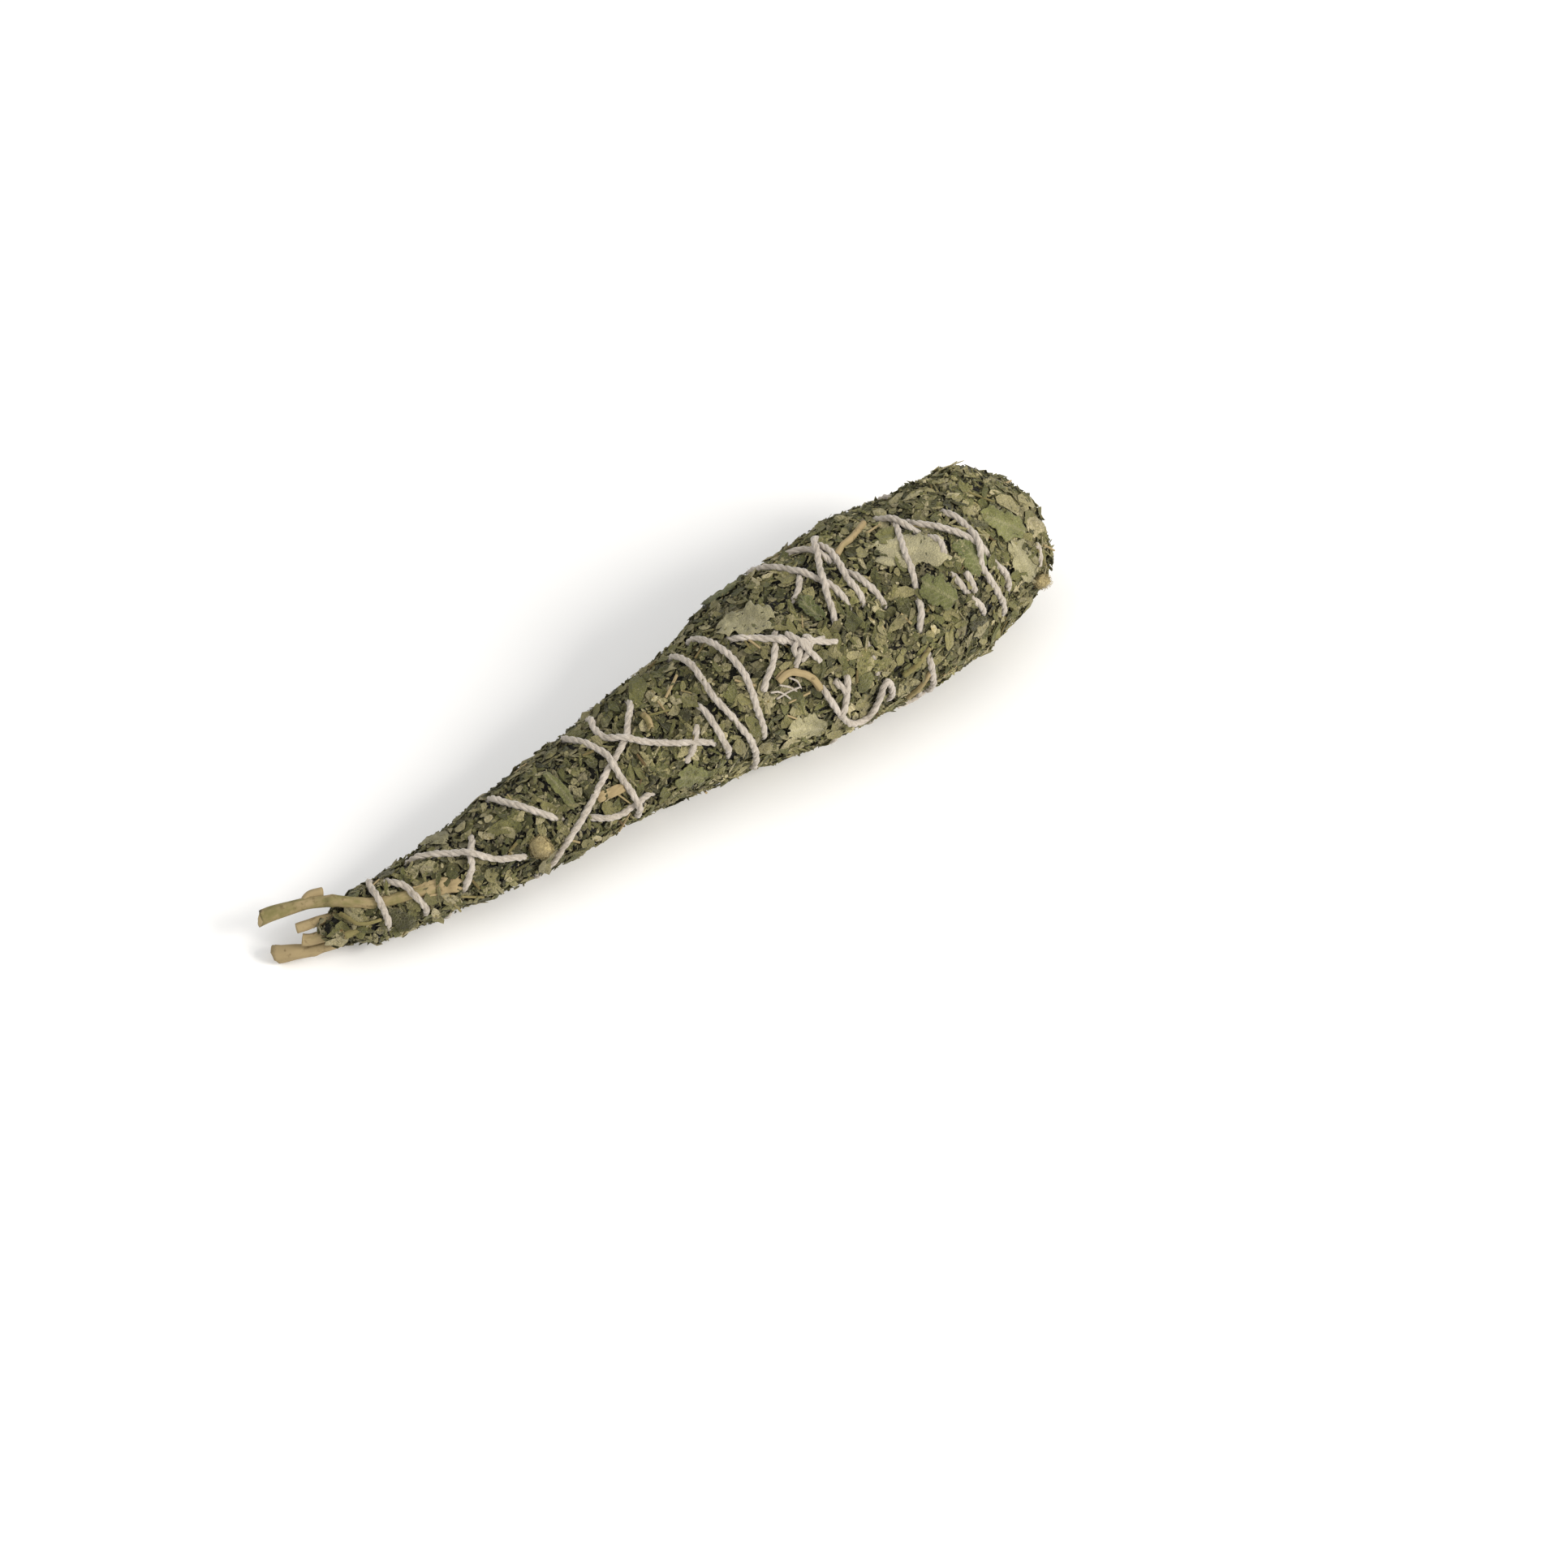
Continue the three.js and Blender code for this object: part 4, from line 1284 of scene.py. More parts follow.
def rod_shape(radius: float, bow: float, rings: int, sides: int, taper: float) -> bpy.types.Mesh:
    """A thin closed rod one unit long along X, bowed and tapered.

    Args:
        radius: of its thick end.
        bow: how far it bends.
        rings: rings of corners along it.
        sides: corners of its section.
        taper: the share of its radius lost by the thin end.

    Returns:
        The mesh.
    """
    points = []
    for ring in range(rings):
        share = ring / (rings - 1)
        reach = radius * (1 - taper * share)
        z = bow * math.sin(share * math.pi)
        for side in range(sides):
            turn = math.tau * side / sides
            points.append((share - 0.5, math.cos(turn) * reach, z + math.sin(turn) * reach))
    faces = grid_faces(rings, sides, True)
    faces += [tuple(reversed(range(sides))), tuple(range((rings - 1) * sides, rings * sides))]
    return mesh_of("rod", points, faces)


def sized(meshes: list[bpy.types.Mesh]) -> list[bpy.types.Mesh]:
    """The meshes, scaled from units of a millimetre to metres.

    Args:
        meshes: the meshes, which are changed.

    Returns:
        The same meshes.
    """
    for mesh in meshes:
        for vertex in mesh.vertices:
            vertex.co *= MM
    return meshes


def fibre_shapes() -> list[bpy.types.Mesh]:
    """Loose cotton fibres, 1 mm long."""
    return sized([rod_shape(0.018, bow, 5, 3, 0.6) for bow in (0.1, 0.28, -0.2)])


@dataclass
class Scatter:
    """Small shapes strewn over a host's surface by a node tree.

    The mask names a number kept on the host: the room there, which thins the shapes out
    where it falls below the clearance, or else a share of the density.
    """

    name: str
    variants: list[bpy.types.Mesh]
    density: float
    seed: int
    smallest: Triple
    largest: Triple
    tilt: float
    lift: tuple[float, float]
    clearance: float = -1.0
    mask: str = "open"

    FADE = 0.7
    INPUTS = (
        ("Geometry", "Geometry"), ("Shapes", "Collection"), ("Density", "Float"), ("Seed", "Int"),
        ("Smallest", "Vector"), ("Largest", "Vector"), ("Tilt", "Float"), ("Lowest", "Float"),
        ("Highest", "Float"), ("Clearance", "Float"), ("Finish", "Material"),
    )  # fmt: skip

    def tree(self) -> bpy.types.NodeTree:
        """Builds the node tree, once for each mask.

        Returns:
            The node tree.
        """
        name = f"scatter_{self.mask}"
        if name in bpy.data.node_groups:
            return bpy.data.node_groups[name]
        g = Graph(bpy.data.node_groups.new(name, "GeometryNodeTree"))
        for label, kind in self.INPUTS:
            g.tree.interface.new_socket(label, in_out="INPUT", socket_type=f"NodeSocket{kind}")
        g.tree.interface.new_socket("Geometry", in_out="OUTPUT", socket_type="NodeSocketGeometry")
        given = g.add("NodeGroupInput").outputs

        def chance(kind: str, low: object, high: object, seed: int) -> Socket:
            """A random number or vector for each point."""
            inputs = {"Min": low, "Max": high, "Seed": seed}
            return g.socket(g.add("FunctionNodeRandomValue", inputs, data_type=kind).outputs, "Value")

        kept = g.add("GeometryNodeInputNamedAttribute", {"Name": self.mask}, data_type="FLOAT")
        share = g.socket(kept.outputs, "Attribute")
        if self.mask == "open":
            clear = given["Clearance"]
            share = g.stretch(share, (clear, g.maths("ADD", clear, self.FADE)), (0.0, 1.0))
        strewn = g.add(
            "GeometryNodeDistributePointsOnFaces",
            {"Mesh": given["Geometry"], "Seed": given["Seed"],
             "Density": g.maths("MULTIPLY", given["Density"], share)},
            distribute_method="RANDOM",
        ).outputs  # fmt: skip
        rise = g.scaled(strewn["Normal"], chance("FLOAT", given["Lowest"], given["Highest"], 1))
        raised = g.add("GeometryNodeSetPosition", {"Geometry": strewn["Points"], "Offset": rise}).outputs[0]

        tilt, back = given["Tilt"], g.maths("MULTIPLY", given["Tilt"], -1.0)
        low = g.add("ShaderNodeCombineXYZ", {"X": back, "Y": back, "Z": -math.pi}).outputs[0]
        high = g.add("ShaderNodeCombineXYZ", {"X": tilt, "Y": tilt, "Z": math.pi}).outputs[0]
        turn = g.add("FunctionNodeEulerToRotation", {0: chance("FLOAT_VECTOR", low, high, 2)}).outputs[0]
        turned = g.add(
            "FunctionNodeRotateRotation", {"Rotation": strewn["Rotation"], "Rotate By": turn},
            rotation_space="LOCAL",
        ).outputs[0]  # fmt: skip

        shapes = g.add(
            "GeometryNodeCollectionInfo",
            {"Collection": given["Shapes"], "Separate Children": True, "Reset Children": True},
        ).outputs[0]
        instances = g.add("GeometryNodeInstanceOnPoints", {
            "Points": raised, "Instance": shapes, "Pick Instance": True, "Rotation": turned,
            "Scale": chance("FLOAT_VECTOR", given["Smallest"], given["Largest"], 3),
        }).outputs[0]  # fmt: skip
        tinted = g.add(
            "GeometryNodeStoreNamedAttribute",
            {"Geometry": instances, "Name": "tint", "Value": chance("FLOAT", 0.0, 1.0, 4)},
            data_type="FLOAT", domain="INSTANCE",
        ).outputs[0]  # fmt: skip
        real = g.add("GeometryNodeRealizeInstances", {0: tinted}).outputs[0]
        dressed = g.add("GeometryNodeSetMaterial", {"Geometry": real, "Material": given["Finish"]}).outputs[0]
        g.add("NodeGroupOutput", {0: dressed})
        return g.tree

    def over(self, host: Thing, finish: Material) -> Thing:
        """Strews the shapes over a host.

        Args:
            host: the object whose surface they lie on. It is left as it was.
            finish: their material.

        Returns:
            One plain mesh object of all the shapes.
        """
        shelf = bpy.data.collections.new(f"{self.name}_shapes")
        for k, mesh in enumerate(self.variants):
            shelf.objects.link(bpy.data.objects.new(f"{self.name}_{k:02d}", mesh))
        tool = host.modifiers.new("scatter", "NODES")
        tool.node_group = self.tree()
        values = (
            shelf, self.density, self.seed, self.smallest, self.largest, self.tilt,
            self.lift[0] * MM, self.lift[1] * MM, self.clearance, finish,
        )  # fmt: skip
        items = tool.node_group.interface.items_tree
        for (label, _), value in zip(self.INPUTS[1:], values):
            tool[next(i.identifier for i in items if i.name == label)] = value
        graph = bpy.context.evaluated_depsgraph_get()
        mesh = bpy.data.meshes.new_from_object(
            host.evaluated_get(graph), preserve_all_data_layers=True, depsgraph=graph
        )
        host.modifiers.remove(tool)
        for sample in list(shelf.objects):
            bpy.data.objects.remove(sample)
        bpy.data.collections.remove(shelf)
        mesh.name = self.name
        settle_on_floor(mesh)
        return placed(self.name, mesh)


def settle_on_floor(mesh: bpy.types.Mesh, low: float = 0.6, gap: float = 0.1) -> None:
    """Presses what hangs under the bundle flat against the floor.

    Args:
        mesh: what is pressed.
        low: the height under which it is pressed, in millimetres.
        gap: the height that nothing gets under.
    """
    flat = np.empty(len(mesh.vertices) * 3, "f")
    mesh.vertices.foreach_get("co", flat)
    points = flat.reshape(-1, 3)
    under = points[:, 2] < low * MM
    depth = (points[under, 2] / MM - low) / (low - gap)
    points[under, 2] = (gap + (low - gap) * np.exp(depth)) * MM
    mesh.vertices.foreach_set("co", points.ravel())
    mesh.update()


# ---------------------------------------------------------------- leaf mass


@dataclass
class LeafMass:
    """The packed, crumbled leaf: a near-black core, painted shade for the deep gaps, under several layers of
    flakes.
    """

    shape: PackShape
    finish: Material
    # The leaf darkened as painted shade, for the layers underneath.
    under: Material
    # The core's near-black leaf, painted shade for the deep gaps.
    dark: Material
    wood: Material
    rows: int = 300
    columns: int = 150
    block: int = 4000
    groove: float = 2.4
    in_view: float = 0.45
    twine_reach: float = 1.2
    core_gap: float = 0.12
    bumps: tuple[Triple, ...] = ((0.5, 9.0, 3.1), (0.28, 3.0, 11.7), (0.14, 1.2, 5.3))
    plug_start: float = 9.0
    plug_tip: float = 0.22
    core: Thing = field(init=False)

    def core_places(self) -> tuple[Array, Array]:
        """Stations and angles of the core's corners, closer together at the round end.

        Returns:
            Stations in millimetres, and angles in degrees.
        """
        share = np.linspace(0, 1, self.rows)
        share = 1 - (1 - share) ** 1.35
        station = self.plug_start + (self.shape.end - self.plug_start - 0.02) * share
        return station, np.linspace(0, 360, self.columns, endpoint=False)

    def distance(self, places: Array, lines: Array) -> Array:
        """How far each place is from the nearest point of some lines, in millimetres.

        Args:
            places: points in metres.
            lines: the lines' points.

        Returns:
            The distances.
        """
        out = np.empty(len(places))
        for first in range(0, len(places), self.block):
            some = slice(first, first + self.block)
            out[some] = ((places[some, None] - lines[None]) ** 2).sum(axis=-1).min(axis=1)
        return np.sqrt(out) / MM

    def build_core(self, twine: Sequence[Laid], heroes: Sequence[Triple]) -> None:
        """Makes the core, and keeps on it how far each place is from what must show.

        Args:
            twine: the twine as it lies.
            heroes: (station, angle, half width) of each whole leaf on the skin.
        """
        station, angle = self.core_places()
        grid_station, grid_angle = np.meshgrid(station, angle, indexing="ij")
        skin = self.shape.point(grid_station, grid_angle, 0.0).reshape(-1, 3)
        bumps = sum(high * ripple(skin, size, seed) for high, size, seed in self.bumps)
        seen = np.vstack([one.line[one.showing > self.in_view] for one in twine])
        near = self.distance(skin, seen)
        lift = np.where(near < self.groove, np.minimum(bumps, 0.1), bumps).reshape(grid_station.shape)
        part = np.clip((grid_station - self.plug_start) / (self.shape.start + 1 - self.plug_start), 0, 1)
        plug = self.plug_tip + (1 - self.plug_tip) * part**0.7
        lift -= self.shape.radius(grid_station, grid_angle) * (1 - plug)
        points = self.shape.point(grid_station, grid_angle, lift)
        points[..., 2] = np.maximum(points[..., 2], self.core_gap * MM)
        ends = self.shape.axis(np.array([self.plug_start - 0.2, self.shape.end + 0.1])) * MM
        parts = MeshParts()
        everything = np.vstack([points.reshape(-1, 3), ends])
        clear = np.sqrt(np.maximum(self.distance(everything, seen) ** 2 - self.twine_reach, 0))
        for at, round_, half in heroes:
            spot = self.shape.point(at, round_, 0.0)
            away = np.linalg.norm(everything - spot, axis=1) / MM - half
            clear = np.minimum(clear, np.maximum(away, 0))
        parts.add(everything, capped_faces(self.rows, self.columns), open=clear)
        self.core = parts.piece("leaf_core", self.dark)

    def layers(self) -> list[tuple[Scatter, Material, Slot]]:
        """Every layer of flakes, from the small ones underneath to the sticks on top.

        Returns:
            Each layer with its material and slot.
        """
        rng = random.Random(4)
        crumbs = sized([crumb_shape(rng, rng.choice((5, 6))) for _ in range(9)])
        broad = [flake_shape(rng, 7, 1.0, rng.uniform(0.5, 0.85), 0.08, 0.35, 0.3) for _ in range(8)]
        narrow = [flake_shape(rng, 7, 1.25, rng.uniform(0.22, 0.42), 0.08, 0.3, 0.25) for _ in range(6)]
        flakes = sized([*broad, *narrow])
        plates = sized([flake_shape(rng, 9, 1.0, rng.uniform(0.45, 0.8), 0.05, 0.2, 0.26) for _ in range(8)])
        sticks = sized([rod_shape(0.5, bow, 4, 6, 0.2) for bow in (0.04, -0.08, 0.1)])
        # The under layers take the leaf darkened as painted shade, for the gaps between the top flakes.
        top, under, wood = (self.finish, Slot.LEAF_MIX), (self.under, Slot.LEAF_MIX), (self.wood, Slot.WOOD)
        rows = (
            (under, "crumbs_under", crumbs, 9.5e5, 11, (0.8, 0.8, 0.7), (1.8, 1.6, 1.3), 0.9, (-0.1, 0.6)),
            (under, "flakes_under", flakes, 2.9e5, 12, (1.8, 1.7, 1.6), (3.8, 3.4, 2.6), 0.42, (0.0, 0.75)),
            (top, "flakes_over", flakes, 2.9e5, 13, (1.5, 1.4, 1.5), (4.0, 3.5, 2.6), 0.27, (0.6, 1.15), 0.1),
            (top, "crumbs_over", crumbs, 5.0e5, 14, (0.5, 0.5, 0.5), (1.5, 1.4, 1.3), 0.9, (0.7, 1.25), 0.2),
            (top, "plates", plates, 2.4e4, 15, (4.0, 3.6, 3.0), (7.0, 6.0, 5.0), 0.17, (0.85, 1.3), 1.3),
            (wood, "sticks", sticks, 9.0e3, 16, (2.0, 0.35, 0.35), (6.0, 0.75, 0.75), 0.16, (0.8, 1.35), 0.8),
        )
        return [(Scatter(*row), *look) for look, *row in rows]

    def build(self, twine: Sequence[Laid], heroes: Sequence[Triple]) -> None:
        """Makes the core and strews every layer over it.

        Args:
            twine: the twine as it lies.
            heroes: (station, angle, half width) of each whole leaf on the skin.
        """
        self.build_core(twine, heroes)
        for scatter, finish, slot in self.layers():
            show(scatter.over(self.core, finish), slot)
        show(self.core, Slot.LEAF_MIX, "leaf_pack")


# ---------------------------------------------------------------- leaves, bark and buds


@dataclass(frozen=True)
class Leaf:
    """One whole bit of leaf or bark lying on the skin."""

    node: str
    at: tuple[float, float]
    length: float
    width: float
    heading: float
    slot: Slot = Slot.LEAF_GREEN
    fold: float = 0.0
    curl: float = 0.0
    blunt: float = 0.25
    tint: float = 0.5
    lift: float = 1.15


@dataclass
class Leaves:
    """Leaves, bark and buds with a shape of their own."""

    shape: PackShape
    finishes: Finishes
    thickness: float = 0.28
    steps: tuple[int, int] = (34, 16)
    rib_width: float = 0.22
    vein_width: float = 0.13
    vein_gap: float = 1.25
    crumple: float = 0.45
    torn_leaf: float = 0.5
    torn_bark: float = 0.15
    keep_leaf: float = 0.26
    keep_bark: float = 0.42
    sheet_gap: float = 0.1
    bud_reach: float = 0.97

    LEAVES = (
        Leaf("leaf_pleated", (111, -1), 11.5, 6.6, 38, Slot.LEAF_PALE, fold=0.15, tint=0.45),
        Leaf("leaf_shoulder_green", (150.4, 43), 8.2, 5.8, 50, curl=0.3, blunt=0.45, tint=0.6),
        Leaf("leaf_shoulder_pale", (149.8, 14), 15, 7.6, 25, Slot.LEAF_PALE, fold=0.1, blunt=0.5,
             tint=0.7, lift=1.0),
        Leaf("leaf_round", (161, 35), 7.6, 6.2, 80, blunt=0.5, tint=0.3, lift=1.1),
        Leaf("leaf_curled", (124, 18), 6, 3.4, 72, fold=0.3, curl=0.8, tint=0.15),
        Leaf("leaf_belly", (114, 88), 8.5, 5.5, 22, Slot.LEAF_PALE, curl=0.6, tint=0.3),
        Leaf("leaf_low", (88.5, 84), 7, 5, 30, curl=0.4, tint=0.8),
        Leaf("leaf_blade", (62.2, 22), 9, 2.2, 78, blunt=0.4, tint=0.8),
        Leaf("leaf_neck", (36.6, -42), 7.5, 4.2, 65, Slot.LEAF_PALE, tint=0.2),
        Leaf("leaf_crown", (173.2, 28), 9.5, 6, 40, fold=0.2, tint=0.8),
        Leaf("leaf_crown_side", (174, 60), 9, 6, 70, Slot.LEAF_PALE, curl=0.5, tint=0.3),
        Leaf("leaf_crown_back", (173.5, 290), 11, 6.5, 40, tint=0.5),
        Leaf("leaf_crown_low", (175, 215), 10, 6, 60, Slot.LEAF_PALE),
        Leaf("leaf_back_long", (114.3, 262), 13, 6, 75, fold=0.12, tint=0.6),
        Leaf("leaf_back_mid", (60, 262), 11, 5, 30, Slot.LEAF_PALE, curl=0.4),
        Leaf("leaf_back_upper", (113.8, 312), 9, 5.5, 50, curl=0.5, tint=0.4),
        Leaf("leaf_under", (68.5, 200), 9, 5, 60, tint=0.5),
    )  # fmt: skip
    BARK = (
        Leaf("bark_strip", (31.6, 46), 9.5, 3.0, 12, Slot.WOOD, blunt=0.7, tint=0.75, lift=1.0),
        Leaf("bark_chip", (71.6, 55.5), 6.6, 1.9, 8, Slot.WOOD, blunt=0.85, tint=0.9),
    )
    BUDS = (
        Leaf("bud_tip", (178.4, 93), 6, 2.6, 50, Slot.LEAF_PALE),
        Leaf("bud_middle", (53.6, 67), 5.4, 3.6, 70, Slot.LEAF_PALE),
    )

    def spots(self) -> list[Triple]:
        """Where the flakes keep off, for the leaf mass.

        Returns:
            (station, angle, half width) of each spot.
        """
        out = []
        for leaf in (*self.LEAVES, *self.BARK, *self.BUDS):
            heading = math.radians(leaf.heading)
            radius = float(self.shape.radius(np.array(leaf.at[0]), np.array(leaf.at[1])))
            reach = leaf.length / 2 - leaf.width / 2
            for step in np.linspace(-1, 1, 5):
                u = reach * step
                turn = math.degrees(u * math.sin(heading) / radius)
                keep = self.keep_bark if leaf.slot is Slot.WOOD else self.keep_leaf
                out.append((leaf.at[0] + u * math.cos(heading), leaf.at[1] + turn, leaf.width * keep))
        return out

    def sheet(self, leaf: Leaf) -> Thing:
        """Makes a leaf or a strip of bark as a thin closed sheet with its veins standing proud.

        Args:
            leaf: the leaf.

        Returns:
            The piece.
        """
        rows, columns = self.steps
        rng = random.Random(leaf.node)
        seed = rng.uniform(0, 50)
        c, s = math.cos(math.radians(leaf.heading)), math.sin(math.radians(leaf.heading))
        share, lane = np.meshgrid(np.linspace(-1, 1, rows), np.linspace(-1, 1, columns), indexing="ij")
        edge_of = 4.0 * np.round(lane)
        ragged = wobble(share * 2.3 + seed, edge_of, seed) + 0.5 * wobble(share * 8.0 + seed, edge_of, seed)
        half = leaf.width / 2 * (leaf.blunt + (1 - leaf.blunt) * np.sqrt(np.maximum(1 - share**2, 0)))
        bark = leaf.slot is Slot.WOOD
        half = half * (1 + (self.torn_bark if bark else self.torn_leaf) * ragged)
        torn = wobble(lane[0] * 1.7 + seed, seed, 3.0)
        torn = torn[None] + 0.5 * np.roll(torn, 5)[None]
        u, v = share * leaf.length / 2 * (1 + 0.35 * share**2 * torn), lane * half
        rib = np.exp(-((v / self.rib_width) ** 2)) * (0.0 if bark else 1.0)
        slant = (u + np.abs(v) * 0.9) / self.vein_gap
        away = (slant - np.round(slant)) * self.vein_gap / self.vein_width
        vein = np.exp(-(away**2)) * (0.0 if bark else 0.6)
        pleat = 0.06 * np.cos(slant * math.tau) * np.minimum(np.abs(v), 1.0)
        if bark:
            pleat = 0.1 * np.sin(v * 9 + np.sin(u * 2)) + 0.06 * np.sin(v * 21)
        crease = wobble(u * 0.7 + seed, v * 0.7, seed) * self.crumple
        bend = leaf.fold * np.abs(v) + leaf.curl * share**2 + crease + pleat + 0.14 * rib + 0.06 * vein
        edge = np.clip(1.25 - np.maximum(np.abs(share), np.abs(lane)) ** 6, 0.3, 1)
        radius = float(self.shape.radius(np.array(leaf.at[0]), np.array(leaf.at[1])))
        station = leaf.at[0] + u * c + v * s
        angle = leaf.at[1] + np.degrees((u * s - v * c) / radius)
        corners = np.vstack([
            self.shape.point(station, angle, leaf.lift + bend + side * edge).reshape(-1, 3)
            for side in (self.thickness / 2, -self.thickness / 2)
        ])  # fmt: skip
        corners[:, 2] = np.maximum(corners[:, 2], self.sheet_gap * MM)
        size = rows * columns
        faces: list[Face] = []
        uv: list[tuple[float, float]] = []
        flat_u, flat_v = u.ravel() * MM, v.ravel() * 0.1
        for a, b, d, e in grid_faces(rows, columns, False):
            faces += [(a, e, d, b), (a + size, b + size, d + size, e + size)]
            uv += [(flat_u[k], flat_v[k]) for k in (a, e, d, b, a, b, d, e)]
        last = columns * (rows - 1)
        rim = [
            *range(0, last, columns), *range(last, last + columns),
            *range(last - 1, columns - 2, -columns), *range(columns - 2, 0, -1),
        ]  # fmt: skip
        for a, b in zip(rim, rim[1:] + rim[:1]):
            faces.append((a, a + size, b + size, b))
            uv += [(flat_u[k], flat_v[k]) for k in (a, a, b, b)]
        parts = MeshParts()
        veins = np.clip(rib + vein, 0, 1).ravel()
        parts.add(corners, faces, uv, tint=leaf.tint, vein=np.concatenate([veins, veins]))
        return parts.piece(f"{leaf.node}_sheet", self.finishes.of(leaf.slot))

    def bud(self, leaf: Leaf) -> Thing:
        """Makes a dry seed bud with ribs, blunt at one end.

        Args:
            leaf: the bud.

        Returns:
            The piece.
        """
        heading = math.radians(leaf.heading)
        lift = 0.5 + leaf.width / 3
        centre = self.shape.point(leaf.at[0], leaf.at[1], lift)
        ahead = self.shape.point(leaf.at[0] + math.cos(heading), leaf.at[1], lift) - centre
        sideways = leaf.at[1] + math.degrees(math.sin(heading) / 18)
        round_ = self.shape.point(leaf.at[0], sideways, lift) - centre
        way = ahead + round_
        way /= np.linalg.norm(way)
        share = np.linspace(-self.bud_reach, self.bud_reach, 16)
        line = centre + way * (share * leaf.length / 2 * MM)[:, None]
        out = self.shape.outward(np.array(leaf.at[1]))

        def reach(part: Array, turn: Array) -> Array:
            """The bud's radius.

            Args:
                part: shares along it.
                turn: angles round it.

            Returns:
                The radii, in metres.
            """
            at = part * 2 * self.bud_reach - self.bud_reach
            fat = np.sqrt(np.maximum(1 - at**2, 0.02)) * (1 - 0.25 * at)
            lumps = 0.07 * np.cos(7 * turn + 3 * part) + 0.12 * np.sin(3 * turn + 5 * part)
            lumps += 0.08 * np.sin(11 * part - 2 * turn)
            return leaf.width / 2 * MM * fat * (1 + lumps)

        parts = MeshParts()
        tube(parts, line, np.repeat(out[None], len(line), axis=0), reach, 28, tint=0.85, showing=1.0)
        piece = parts.piece(f"{leaf.node}_seed", self.finishes.down)
        down = Scatter(
            name=f"{leaf.node}_down", variants=fibre_shapes(), density=8.0e6, seed=9,
            smallest=(0.9, 1.6, 1.6), largest=(2.0, 2.6, 2.6), tilt=1.2, lift=(-0.05, 0.05), mask="showing",
        )  # fmt: skip
        show(down.over(piece, self.finishes.down), leaf.slot)
        return piece

    def build(self) -> None:
        """Makes every leaf, strip of bark and bud."""
        for leaf in (*self.LEAVES, *self.BARK):
            show(self.sheet(leaf), leaf.slot, leaf.node)
        for leaf in self.BUDS:
            show(self.bud(leaf), leaf.slot, leaf.node)


# ---------------------------------------------------------------- stems and twigs


@dataclass(frozen=True)
class Stem:
    """One woody stem or bit of twig."""

    node: str
    route: tuple[Place, ...]
    diameter: float
    from_axis: bool = False
    flare: float = 0.0
    taper: float = 0.0
    slant: float = 0.0
    tint: float = 0.4
    side: tuple[Place, ...] = ()


